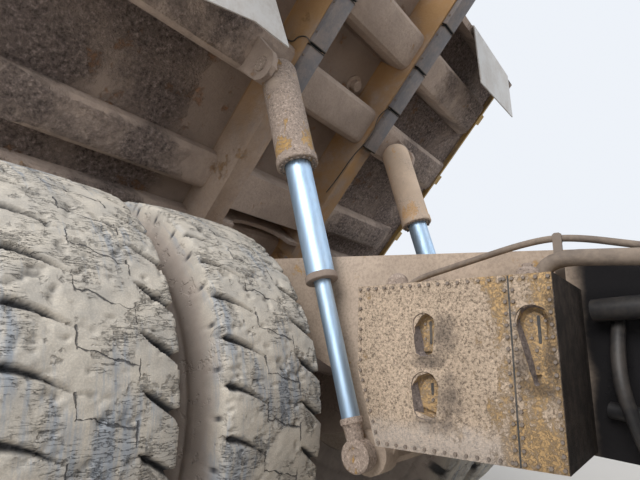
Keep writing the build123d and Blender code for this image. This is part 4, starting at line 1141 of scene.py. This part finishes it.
@dataclass
class Wheels:
    """The six tyres."""

    palette: Palette
    front_y: float = 2.085
    dual_y: float = 1.870
    dual_spacing: float = 0.970
    height: float = 1.3442
    phases: tuple[float, float] = (0.0244, 0.1639)
    front_phase: float = 0.09
    fine: tuple[int, int] = (29, 58)  # grid lines a lug, and across the tread
    coarse: tuple[int, int] = (12, 34)

    def add(
        self, name: str, centre: Vector, side: Side, phase: float, grid: tuple[int, int], seed: float,
    ) -> None:
        """Build one tyre and dress it over the node it replaces.

        Args:
            name: Name of the piece without its side.
            centre: Middle of the tyre.
            side: Side of the truck.
            phase: Shift of the lugs round the tread, in metres.
            grid: Grid lines a lug, and across the tread.
            seed: Shift of the wear's noise.
        """
        tyre = Tyre(centre, side, phase, per_lug=grid[0], columns=grid[1], seed=seed)
        piece = tyre.build(f"{name}_{side.word}", self.palette.tyre)
        front = name.startswith("tyre_front")
        body, node = ("wheel_front", "tyre_front") if front else ("wheels_rear", "tyres_rear")
        dress(piece, f"{body}_{side.word}", "tyre_rubber", f"{node}_{side.word}")

    def build(self) -> None:
        """Build and dress every tyre."""
        for side in Side:
            grid = self.fine if side is Side.RIGHT else self.coarse
            for place, offset, phase in (("inner", -0.5, self.phases[0]), ("outer", 0.5, self.phases[1])):
                y = side.value * (self.dual_y + offset * self.dual_spacing)
                centre = Vector((REAR_AXLE_X, y, self.height))
                self.add(f"tyre_rear_{place}", centre, side, phase, grid, offset * 7.0)
            centre = Vector((REAR_AXLE_X + WHEELBASE, side.value * self.front_y, self.height))
            self.add("tyre_front_tread", centre, side, self.front_phase, self.coarse, 4.0)


@dataclass
class Hoist:
    """Both two-stage hoist cylinders, turned smooth."""

    palette: Palette
    bolts: Bolts
    eye: tuple[float, float] = (-0.270, 1.167)
    y: float = 0.932
    lean: float = math.radians(15.92)
    length: float = 2.746
    barrel_radius: float = 0.141
    stage_radius: float = 0.0925
    rod_radius: float = 0.054
    collar_bolts: int = 18
    bolt_circle: float = 0.124
    collar_foot: float = 1.907

    def base(self, side: Side) -> Matrix:
        """Matrix with Z up a cylinder from its lower eye and X away from the truck's middle."""
        up = Vector((-math.sin(self.lean), 0, math.cos(self.lean)))
        out = Vector((0, side.value, 0))
        turn = Matrix((out, up.cross(out), up)).transposed().to_4x4()
        return Matrix.Translation(Vector((self.eye[0], side.value * self.y, self.eye[1]))) @ turn

    def cross(self, base: Matrix, height: float) -> Matrix:
        """Matrix whose Z runs outwards across the cylinder at a height."""
        return base @ Matrix.Translation((0, 0, height)) @ Matrix.Rotation(math.pi / 2, 4, "Y")

    def barrel(self, side: Side, base: Matrix) -> None:
        """Barrel with its dome, collar, trunnion and ring of collar bolts."""
        r = self.barrel_radius
        draft = MeshDraft()
        body = [(r, z) for z in np.linspace(1.99, 2.6, 22)]
        draft.lathe([
            (0.0935, 1.96), (0.0955, 1.912), (0.103, 1.906), (0.142, 1.906), (0.149, 1.913), (0.149, 1.966),
            (0.145, 1.974), *body, *dome(r, self.length, r * 0.9, 10),
        ], base, 96)
        draft.block([
            base @ Vector((x, y, self.length + z))
            for x in (0.101, 0.148) for y in (-0.082, 0.082) for z in (-0.082, 0.068)
        ])
        trunnion = [(0.0, 0.14), (0.060, 0.145), (0.060, 0.205), (0.056, 0.211), (0.0, 0.211)]
        draft.lathe(trunnion, self.cross(base, self.length), 48)
        # the far barrel's paler finish is painted light
        finish = self.palette.cylinder if side is Side.RIGHT else self.palette.far_cylinder
        piece = draft.build(f"hoist_barrel_skin_{side.word}", finish)
        up, foot = base.to_3x3() @ Vector((0, 0, 1)), base.translation
        heights = [(v.co - foot).dot(up) for v in piece.data.vertices]
        worn = piece.data.attributes.new("worn", "FLOAT", "POINT")
        worn.data.foreach_set("value", [max(0.0, 1.0 - abs(h - 2.02) / 0.16) for h in heights])
        body_name = f"hoist_barrel_{side.word}"
        dress(piece, body_name, "cylinder_paint", body_name)
        ring = circle(self.bolt_circle, self.collar_bolts)
        spots = [(base @ Vector((x, y, self.collar_foot)), -up) for x, y in ring]
        heads = self.bolts.place(f"hoist_collar_bolts_{side.word}", spots, 0.0125, 0.016)
        dress(heads, body_name, "cylinder_paint")

    def stage(self, side: Side, base: Matrix) -> None:
        """Chrome stage with the painted ring at its end."""
        name = f"hoist_stage_{side.word}"
        r = self.stage_radius
        draft = MeshDraft()
        draft.lathe([(r - 0.004, 1.070), (r, 1.074), (r, 1.95), (0.0, 1.951)], base, 80)
        dress(draft.build(f"hoist_stage_skin_{side.word}", self.palette.chrome), name, "chrome_rod", name)
        draft = MeshDraft()
        draft.lathe([
            (0.0555, 1.070), (0.0565, 1.036), (0.062, 1.031), (0.100, 1.031), (0.1045, 1.036),
            (0.1045, 1.070), (0.100, 1.077), (0.0935, 1.079), (0.088, 1.072),
        ], base, 80)
        dress(draft.build(f"hoist_stage_ring_{side.word}", self.palette.gear), name, "cylinder_paint", name)

    def rod(self, side: Side, base: Matrix) -> None:
        """Chrome rod, its flange, neck and eye."""
        name = f"hoist_rod_{side.word}"
        r = self.rod_radius
        draft = MeshDraft()
        draft.lathe([(0.0, 0.19), (r, 0.19), (r, 1.09), (0.0, 1.091)], base, 64)
        dress(draft.build(f"hoist_rod_skin_{side.word}", self.palette.chrome), name, "chrome_rod", name)
        draft = MeshDraft()
        draft.lathe([
            (0.0, 0.03), (0.046, 0.03), (0.052, 0.10), (0.056, 0.155), (0.062, 0.166), (0.0665, 0.170),
            (0.0665, 0.196), (0.0625, 0.202), (0.0545, 0.203), (0.052, 0.196),
        ], base, 64)
        draft.lathe([
            (0.0, -0.046), (0.045, -0.046), (0.045, -0.050), (0.080, -0.050), (0.0895, -0.042),
            (0.0895, 0.042), (0.080, 0.050), (0.050, 0.050), (0.046, 0.045), (0.0, 0.045),
        ], self.cross(base, 0.0), 64)
        draft.lathe([(0.0, -0.090), (0.045, -0.090), (0.045, -0.04), (0.0, -0.04)], self.cross(base, 0.0), 40)
        dress(draft.build(f"hoist_rod_eye_{side.word}", self.palette.cylinder), name, "cylinder_paint", name)

    def build(self) -> None:
        """Build and dress barrels, stages and rods."""
        for side in Side:
            base = self.base(side)
            self.barrel(side, base)
            self.stage(side, base)
            self.rod(side, base)


@dataclass
class TankFittings:
    """Bolts, seam, plates, caps and plumbing of the hydraulic tank."""

    palette: Palette
    bolts: Bolts
    face: float = -1.350
    rear: float = -0.005
    front: float = 0.879
    bottom: float = 1.316
    top: float = 2.038
    slant: tuple[float, float] = (0.095, 1.640)
    seam: float = 0.713
    seam_half: float = 0.0155
    gap_half: float = 0.0035
    slit_half: float = 0.006
    spacing: float = 0.045
    margin: float = 0.016
    plate_face: float = -1.317
    cap_y: float = -1.180
    cap_inset: float = 0.130
    rim_points: int = 72
    wall_slope: float = 0.028
    rivets: tuple[tuple[float, float], ...] = (
        # X and Z
        (0.334, 1.851), (0.333, 1.787), (0.359, 1.530), (0.782, 1.855), (0.834, 1.854), (0.780, 1.789),
        (0.832, 1.789), (0.794, 1.742), (0.794, 1.677),
    )
    slits: tuple[tuple[float, float, float], ...] = (
        # X, bottom and top Z
        (0.359, 1.768, 1.858), (0.358, 1.556, 1.595), (0.809, 1.773, 1.870),
    )
    recesses: tuple[tuple[float, ...], ...] = (
        # opening: middle X, half width, bottom and top Z, half width at the bottom
        # then the box over the cast hole: its two X and two Z
        (0.341, 0.051, 1.714, 1.896, 0.040, 0.275, 0.480, 1.695, 1.922),
        (0.338, 0.062, 1.452, 1.644, 0.050, 0.250, 0.495, 1.435, 1.662),
        (0.794, 0.064, 1.616, 1.912, 0.010, 0.722, 0.866, 1.600, 1.928),
    )

    def row(self, start: tuple[float, float], end: tuple[float, float]) -> list[tuple[float, float]]:
        """Evenly spaced places between two points of the face, in X and Z."""
        length = math.hypot(end[0] - start[0], end[1] - start[1])
        count = max(1, round(length / self.spacing))
        return [tuple(a + (b - a) * k / count for a, b in zip(start, end)) for k in range(count + 1)]

    def fasteners(self) -> None:
        """Bolts round the face and beside the seam, and rivets of the plates in the recesses."""
        m, out = self.margin, Vector((0, -1, 0))
        x0, x1, z0, z1 = self.rear + m, self.front - m, self.bottom + m, self.top - m
        places = self.row((x0, z1), (x1, z1)) + self.row((x0, self.slant[1]), (x0, z1 - self.spacing))
        corner = (x0 + self.slant[0], z0)
        places += self.row(corner, (x1, z0)) + self.row(corner, (x0, self.slant[1]))
        places += self.row((x1, z0), (x1, z1))
        for offset in (-self.seam_half, self.seam_half):
            places += self.row((self.seam + offset, z0), (self.seam + offset, z1))
        spots = [(Vector((x, self.face, z)), out) for x, z in places]
        dress(self.bolts.place("tank_edge_bolts", spots, 0.0085, 0.008), "chassis", "chassis_paint")
        spots = [(Vector((x, self.plate_face, z)), out) for x, z in self.rivets]
        dress(self.bolts.place("tank_plate_rivets", spots, 0.007, 0.005, 10), "chassis", "chassis_paint")

    def opening(self, middle: float, half: float, low: float, high: float, foot: float) -> np.ndarray:
        """Outline of an arched opening that narrows to its foot, as evenly spaced points in X and Z."""
        over, under = np.linspace(0, math.pi, 17), np.linspace(math.pi, 2 * math.pi, 9)
        arch = [(middle + half * math.cos(a), high - half + half * math.sin(a)) for a in over]
        squat = foot * 0.6
        round_foot = [(middle + foot * math.cos(a), low + squat + squat * math.sin(a)) for a in under]
        points = np.array([*arch, *round_foot, arch[0]])
        gone = np.concatenate([[0.0], np.cumsum(np.hypot(*np.diff(points, axis=0).T))])
        even = np.linspace(0.0, gone[-1], self.rim_points, endpoint=False)
        return np.stack([np.interp(even, gone, points[:, i]) for i in range(2)], axis=-1)

    @staticmethod
    def room(offset: float, low: float, high: float) -> float:
        """How many times an offset fits into a span round 0 before it leaves it."""
        if abs(offset) <= 1e-4:
            return 1e9
        return (high if offset > 0 else low) / offset

    def mud_rims(self) -> None:
        """Caked mud that rounds the recesses' openings, and dark mud on their walls that is partly painted
        shade inside the recesses.
        """
        rims, walls = MeshDraft(), MeshDraft()
        for middle, half, low, high, foot, x0, x1, z0, z1 in self.recesses:
            level = (low + high) / 2
            rings = [[], [], [], [], []]
            for x, z in self.opening(middle, half, low, high, foot):
                dx, dz = x - middle, z - level
                sideways = self.room(dx, x0 - middle, x1 - middle)
                grow = max(1.06, min(sideways, self.room(dz, z0 - level, z1 - level)))
                wave = 0.003 * noise.noise(Vector((x * 60, z * 60, 3.0)))
                rear = min(1.0, max(0.0, -dx / half))
                slope = self.wall_slope * rear * min(1.0, (high - z) / (high - low) * 1.3)
                steps = ((grow, 0.0015), (grow * 0.6 + 0.4, -0.003), (1.03, -0.005))
                for ring, (share, depth) in zip(rings, steps):
                    ring.append((middle + dx * share + wave, self.face + depth, level + dz * share + wave))
                rings[3].append((x - dx * 0.01 + wave, self.face + 0.004, z - dz * 0.01 + wave))
                rings[4].append((x - dx * 0.04 + slope, self.plate_face + 0.001, z - dz * 0.03))
            rims.grid(np.array(rings[:3]), wrap_columns=True)
            walls.grid(np.array(rings[2:]), wrap_columns=True)
        dress(rims.build("tank_recess_rims", self.palette.tank, 50.0), "chassis", "chassis_paint")
        # the walls' dark mud partly paints the shade inside the recesses
        dress(walls.build("tank_recess_walls", self.palette.wet, 50.0), "chassis", "chassis_paint")

    def bay(self) -> None:
        """Near-black pipes on the rail ahead of the tank, partly real pipes and partly painted shade of the
        engine bay.
        """
        runs = (
            # name, radius, route
            ("bay_pipe_upper", 0.052, (
                (0.93, -0.82, 1.93), (1.30, -0.90, 1.95), (1.75, -0.92, 1.92), (1.95, -0.78, 1.90),
            )),
            ("bay_pipe_drop", 0.030, (
                (1.02, -0.78, 1.88), (1.00, -0.90, 1.70), (1.04, -0.90, 1.45), (1.10, -0.78, 1.25),
            )),
            ("bay_pipe_lower", 0.036, (
                (0.95, -0.78, 1.50), (1.25, -0.88, 1.46), (1.60, -0.86, 1.52), (1.80, -0.77, 1.60),
            )),
        )
        for name, radius, route in runs:
            dress(swept_tube(name, route, radius, self.palette.oily), "chassis", "hose_rubber")

    def seam_and_slits(self) -> None:
        """Dark line of the seam down the face, and dark slots of the gauges in the recesses."""
        draft = MeshDraft()
        x0, x1 = self.seam - self.gap_half, self.seam + self.gap_half
        z0, z1 = self.bottom + 0.002, self.top - 0.002
        draft.slab([(x0, z0), (x1, z0), (x1, z1), (x0, z1)], self.face - 0.0015, self.face + 0.002, 0.0005)
        dress(draft.build("tank_seam_gap", self.palette.dark, 20.0), "chassis", "chassis_paint")
        draft = MeshDraft()
        r = self.slit_half
        under, over = np.linspace(math.pi, 2 * math.pi, 6), np.linspace(0, math.pi, 6)
        for x, low, high in self.slits:
            ends = [(x + r * math.cos(a), low + r * math.sin(a)) for a in under]
            ends += [(x + r * math.cos(a), high + r * math.sin(a)) for a in over]
            draft.slab(ends, self.plate_face - 0.002, self.plate_face + 0.003, 0.001)
        dress(draft.build("tank_gauge_slots", self.palette.dark, 20.0), "chassis", "grille_black")

    def caps(self) -> None:
        """Dome vent at the rear and filler cap at the front."""
        draft = MeshDraft()
        caps = ((self.rear + self.cap_inset, 0.062, 0.052), (self.front - self.cap_inset, 0.056, 0.030))
        for x, r, rise in caps:
            rim = [(0.0, 0.001), (r * 0.9, 0.001), (r, 0.008), (r, 0.022), (r * 0.95, 0.028)]
            place = Matrix.Translation((x, self.cap_y, self.top))
            draft.lathe([*rim, *dome(r * 0.86, 0.030, rise, 9)], place, 48)
        knob = Matrix.Translation((self.front - self.cap_inset, self.cap_y, self.top + 0.052))
        draft.lathe([(0.0, 0.0), (0.022, 0.0), (0.022, 0.016), (0.016, 0.020), (0.0, 0.020)], knob, 24)
        dress(draft.build("tank_caps_skin", self.palette.cylinder), "chassis", "chassis_paint", "tank_caps")

    def plumbing(self) -> None:
        """Return hose, suction pipe and the clamp that holds the hose."""
        hose_y, pipe_y = -0.930, -1.035
        hose = (
            (0.040, 2.045), (0.040, 2.110), (0.350, 2.180), (0.710, 2.262), (0.890, 2.262), (1.150, 2.190),
            (1.410, 2.120),
        )
        route = [(x, hose_y, z) for x, z in hose] + [(1.500, -0.850, 2.085), (1.520, -0.765, 2.080)]
        piece = swept_tube("tank_return_hose", route, 0.0165, self.palette.hose)
        dress(piece, "chassis", "hose_rubber", "tank_hoses")
        pipe = ((0.770, 2.045), (0.770, 2.155), (1.100, 2.128), (1.450, 2.095))
        route = [(x, pipe_y, z) for x, z in pipe] + [(1.505, -0.960, 2.090), (1.510, -0.765, 2.090)]
        piece = swept_tube("tank_suction_pipe", route, 0.037, self.palette.hose)
        dress(piece, "chassis", "hose_rubber", "tank_hoses")
        strap = (
            (0.812, 2.06), (0.852, 2.06), (0.852, 2.276), (0.842, 2.284), (0.822, 2.284), (0.812, 2.276),
        )
        foot = ((0.812, 2.040), (0.852, 2.040), (0.852, 2.06), (0.812, 2.06))
        sleeve = ((0.017, 0.0), (0.024, 0.0), (0.024, 0.030), (0.017, 0.030))
        draft = MeshDraft()
        draft.slab(strap, -0.955, -0.946, 0.002)
        draft.slab(foot, -0.960, -0.900, 0.002)
        draft.lathe(sleeve, axis_matrix((0.817, hose_y, 2.259), (1, 0, 0)), 24)
        clamp = draft.build("tank_hose_clamp", self.palette.steel, 30.0)
        dress(clamp, "chassis", "hose_rubber", "tank_hoses")

    def build(self) -> None:
        """Build and dress every fitting."""
        self.fasteners()
        self.mud_rims()
        self.bay()
        self.seam_and_slits()
        self.caps()
        self.plumbing()


@dataclass
class BedFittings:
    """Pad bolts and clips, wires and drain boss under the bed."""

    palette: Palette
    bolts: Bolts
    skins: dict
    pad_y: float = 0.645
    pad_start: float = 1.722
    pad_length: float = 0.467
    pad_count: int = 5
    bolt_shares: tuple[float, float] = (0.22, 0.78)
    bolt_v: float = 0.034
    wire_radius: float = 0.0055
    clip_offset: float = 0.018

    def pad_bolts(self) -> None:
        """Bolts in both side faces of every pad."""
        spots = []
        for k in range(self.pad_count):
            for share in self.bolt_shares:
                u = self.pad_start + self.pad_length * (k + share)
                for sign in (1, -1):
                    for way in (1, -1):
                        start = bed_point(u, sign * self.pad_y + way * 0.3, self.bolt_v)
                        spot = self.skins["bed_pads"].land(start, (0, -way, 0))
                        if spot:
                            spots.append(spot)
        dress(self.bolts.place("bed_pad_bolts", spots, 0.013, 0.010), "bed", "pad_rubber")

    def wires(self) -> None:
        """Thin wires beside the rails, by points along the bed's own axes."""
        routes = {
            "bed_wire_far": (
                (2.190, 0.530, 0.014), (2.175, 0.530, 0.027), (2.092, 0.528, 0.071), (2.000, 0.529, 0.057),
                (1.921, 0.529, 0.015), (1.778, 0.529, 0.024), (1.590, 0.528, 0.078), (1.300, 0.529, 0.085),
                (1.113, 0.529, 0.113),
            ),
            "bed_wire_near": (
                (2.129, -0.742, 0.335), (2.121, -0.744, 0.224), (2.196, -0.746, 0.195),
                (2.228, -0.742, 0.082), (2.190, -0.738, 0.030),
            ),
        }
        for name, route in routes.items():
            piece = swept_tube(name, [bed_point(*p) for p in route], self.wire_radius, self.palette.dark)
            dress(piece, "bed", "pad_rubber")

    def pad_clips(self) -> None:
        """Steel strips round the pads, beside each gap."""
        draft = MeshDraft()
        for k in range(self.pad_count + 1):
            for offset in (-self.clip_offset, self.clip_offset):
                for sign in (1, -1):
                    u = self.pad_start + self.pad_length * k + offset
                    draft.block([
                        bed_point(u + a * 0.002, sign * self.pad_y + b * 0.095, v)
                        for a in (-1, 1) for b in (-1, 1) for v in (0.004, 0.064)
                    ])
        dress(draft.build("bed_pad_clips", self.palette.steel, 20.0), "bed", "pad_rubber")

    def drain_boss(self) -> None:
        """Flanged boss of the drain, on the floor between the rails."""
        down = bed_point(0, 0, -1) - bed_point(0, 0, 0)
        profile = (
            (0.0, 0.0), (0.095, 0.0), (0.095, 0.018), (0.058, 0.020), (0.055, 0.075), (0.048, 0.080),
            (0.0, 0.080),
        )
        draft = MeshDraft()
        draft.lathe(profile, axis_matrix(bed_point(2.2, 0.36, 0.462), down), 40)
        dress(draft.build("bed_drain_boss", self.palette.rail), "bed", "bed_paint")

    def build(self) -> None:
        """Build and dress every fitting."""
        self.pad_bolts()
        self.wires()
        self.pad_clips()
        self.drain_boss()


@dataclass
class WheelFittings:
    """Rings of bolts on the rims and final drives."""

    bolts: Bolts
    skins: dict
    rings: tuple[tuple[float, int], ...] = ((0.505, 24), (0.30, 16))
    height: float = 1.3442
    clear_y: float = 3.4
    least_facing: float = 0.8

    def build(self) -> None:
        """Build and dress the bolts of all four wheels' outer faces."""
        for side in Side:
            for node, body, x in (
                (f"rims_rear_{side.word}", f"wheels_rear_{side.word}", REAR_AXLE_X),
                (f"rim_front_{side.word}", f"wheel_front_{side.word}", REAR_AXLE_X + WHEELBASE),
            ):
                spots = []
                for radius, count in self.rings:
                    for dx, dz in circle(radius, count):
                        start = (x + dx, side.value * self.clear_y, self.height + dz)
                        spot = self.skins[node].land(start, (0, -side.value, 0))
                        if spot and abs(spot[1].y) > self.least_facing:
                            spots.append(spot)
                if spots:
                    dress(self.bolts.place(f"{node}_bolts", spots, 0.019, 0.022), body, "rim_paint")


@dataclass
class SoftEdges:
    """Rounded copies of the nodes whose edges and turned faces show."""

    palette: Palette
    nodes: dict
    widths: tuple[tuple[str, str, float, str, str], ...] = (
        # node, body, width of the rounding, finish, slot
        ("bed_rails", "bed", 0.010, "rail", "bed_paint"),
        ("bed_pads", "bed", 0.006, "pads", "pad_rubber"),
        ("hydraulic_tank", "chassis", 0.006, "tank", "chassis_paint"),
        ("frame", "chassis", 0.008, "frame", "chassis_paint"),
        ("fuel_tank", "chassis", 0.020, "rim", "chassis_paint"),
        ("bumper", "chassis", 0.012, "chassis", "chassis_paint"),
        ("cab_shell", "chassis", 0.020, "cab", "cab_paint"),
        ("air_cleaners", "chassis", 0.010, "chassis", "chassis_paint"),
        ("rear_axle_housing", "chassis", 0.010, "gear", "running_gear"),
        ("rear_struts", "chassis", 0.006, "gear", "running_gear"),
        ("front_strut_housings", "chassis", 0.006, "gear", "running_gear"),
        ("rims_rear_right", "wheels_rear_right", 0.008, "rim", "rim_paint"),
        ("rims_rear_left", "wheels_rear_left", 0.008, "rim", "rim_paint"),
        ("rim_front_right", "wheel_front_right", 0.008, "rim", "rim_paint"),
        ("rim_front_left", "wheel_front_left", 0.008, "rim", "rim_paint"),
    )

    def build(self) -> None:
        """Build and dress every copy."""
        for name, body, width, finish, slot in self.widths:
            piece = soften(self.nodes[name], f"{name}_soft", getattr(self.palette, finish), width)
            dress(piece, body, slot, name)


@dataclass
class PhotoView:
    """Camera, light, floor and backdrop."""

    place: Point = (1.275, -3.303, 1.712)
    heading: float = math.radians(38.017)
    pitch: float = math.radians(13.523)
    roll: float = math.radians(1.319)
    focal_pixels: float = 472.36
    frame_width: float = 640.0
    sensor: float = 36.0
    lamp_size: float = 9.0
    light: tuple[Colour, float] = ((0.86, 0.92, 1.0), 0.85)  # colour and strength
    backdrop: tuple[Colour, float] = ((0.90, 0.94, 1.0), 0.95)
    floor_colour: Colour = (0.62, 0.58, 0.53)
    floor_reach: float = 60.0
    lamps: tuple[tuple[str, Point, Point, float, Colour], ...] = (
        # name, place, target, power in watts, colour
        ("key", (2.0, -14.0, 13.0), (-0.5, 0, 2.5), 2350.0, (1.0, 0.98, 0.955)),
        ("fill", (14.0, 6.0, 10.0), (0, 0, 2.5), 600.0, (0.92, 0.96, 1.0)),
    )

    def camera(self) -> None:
        """Put the camera where the photograph was taken."""
        forward = Vector((
            -math.sin(self.heading) * math.cos(self.pitch), math.cos(self.heading) * math.cos(self.pitch),
            math.sin(self.pitch),
        ))
        level = Vector((math.cos(self.heading), math.sin(self.heading), 0.0))
        above = level.cross(forward)
        c, s = math.cos(self.roll), math.sin(self.roll)
        right, up = c * level + s * above, -s * level + c * above
        data = bpy.data.cameras.new("camera")
        data.sensor_width = self.sensor
        data.lens = self.focal_pixels / self.frame_width * self.sensor
        data.clip_end = 500.0
        camera = add_object("camera", data)
        rows = Matrix((right, up, -forward)).transposed().to_4x4()
        camera.matrix_world = Matrix.Translation(Vector(self.place)) @ rows
        bpy.context.scene.camera = camera

    def lighting(self) -> None:
        """Add the area lamps, each aimed at its target."""
        for name, place, target, power, colour in self.lamps:
            data = bpy.data.lights.new(name, "AREA")
            data.shape, data.size, data.energy, data.color = "SQUARE", self.lamp_size, power, colour
            lamp = add_object(name, data)
            lamp.matrix_world = axis_matrix(place, Vector(place) - Vector(target))

    def world(self) -> None:
        """Pale even surroundings, white where the camera or a reflection sees them."""
        world = bpy.data.worlds.new("surroundings")
        bpy.context.scene.world = world
        world.use_nodes = True
        tree = world.node_tree
        tree.nodes.clear()
        path, seen = tree.nodes.new("ShaderNodeLightPath"), tree.nodes.new("ShaderNodeMath")
        seen.operation = "MAXIMUM"
        blend, end = tree.nodes.new("ShaderNodeMixShader"), tree.nodes.new("ShaderNodeOutputWorld")
        links = [
            (path.outputs["Is Camera Ray"], seen.inputs[0]), (path.outputs["Is Glossy Ray"], seen.inputs[1]),
            (seen.outputs[0], blend.inputs[0]), (blend.outputs[0], end.inputs[0]),
        ]
        for place, (colour, strength) in enumerate((self.light, self.backdrop), start=1):
            sky = tree.nodes.new("ShaderNodeBackground")
            sky.inputs[0].default_value, sky.inputs[1].default_value = (*colour, 1.0), strength
            links.append((sky.outputs[0], blend.inputs[place]))
        for source, target in links:
            tree.links.new(source, target)

    def floor(self) -> None:
        """Plain pale floor."""
        shade = Shade("floor_paint")
        material = shade.surface({"Base Color": self.floor_colour, "Roughness": 0.9})
        draft = MeshDraft()
        signs = ((-1, -1), (1, -1), (1, 1), (-1, 1))
        corners = [(x * self.floor_reach, y * self.floor_reach, 0) for x, y in signs]
        draft.add(corners, [(0, 1, 2, 3)])
        draft.build("floor", material)

    def build(self) -> None:
        """Build camera, lamps, surroundings and floor."""
        self.camera()
        self.world()
        self.floor()
        self.lighting()
        bpy.context.scene.view_settings.view_transform = "Standard"


def paint_nodes(frame: dict, palette: Palette) -> None:
    """Give every CAD node that stays visible its finish."""
    finishes = {
        "bed_rails": palette.rail, "bed_pads": palette.pads, "bed_floor": palette.floor,
        "bed_flaps": palette.flap, "tank_caps": palette.gear, "tank_hoses": palette.hose,
        "hydraulic_tank": palette.tank, "fuel_tank": palette.rim, "frame": palette.frame,
        "rear_axle_housing": palette.gear, "rear_struts": palette.gear,
        # the drivetrain's near-black finish is partly painted shade of the engine bay
        "front_strut_housings": palette.gear, "drivetrain": palette.oily, "bumper": palette.chassis,
        "headlamps": palette.lamp, "radiator_grille": palette.dark, "deck": palette.chassis,
        "handrails": palette.cab, "ladders": palette.cab, "air_cleaners": palette.chassis,
        "cab_shell": palette.cab, "cab_glass": palette.glass, "cab_interior": palette.plastic,
    }
    families = {"bed_": palette.bed, "cab_door": palette.cab, "rim": palette.rim, "knuckle": palette.gear}
    for name, node in frame["nodes"].items():
        finish = finishes.get(name)
        if finish is None:
            finish = next((f for start, f in families.items() if name.startswith(start)), palette.cylinder)
        node.data.materials.clear()
        node.data.materials.append(finish)


def main() -> None:
    """Load the frame, dress the truck and set up the view."""
    logging.basicConfig(level=logging.INFO, format="%(name)s: %(message)s")
    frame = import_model()
    palette = Palette()
    paint_nodes(frame, palette)
    bolts = Bolts("bolt_heads", palette.steel)
    skins = {name: Skin(node) for name, node in frame["nodes"].items()}
    Wheels(palette).build()
    Hoist(palette, bolts).build()
    TankFittings(palette, bolts).build()
    BedFittings(palette, bolts, skins).build()
    WheelFittings(bolts, skins).build()
    SoftEdges(palette, frame["nodes"]).build()
    PhotoView().build()


if __name__ == "__main__":
    main()
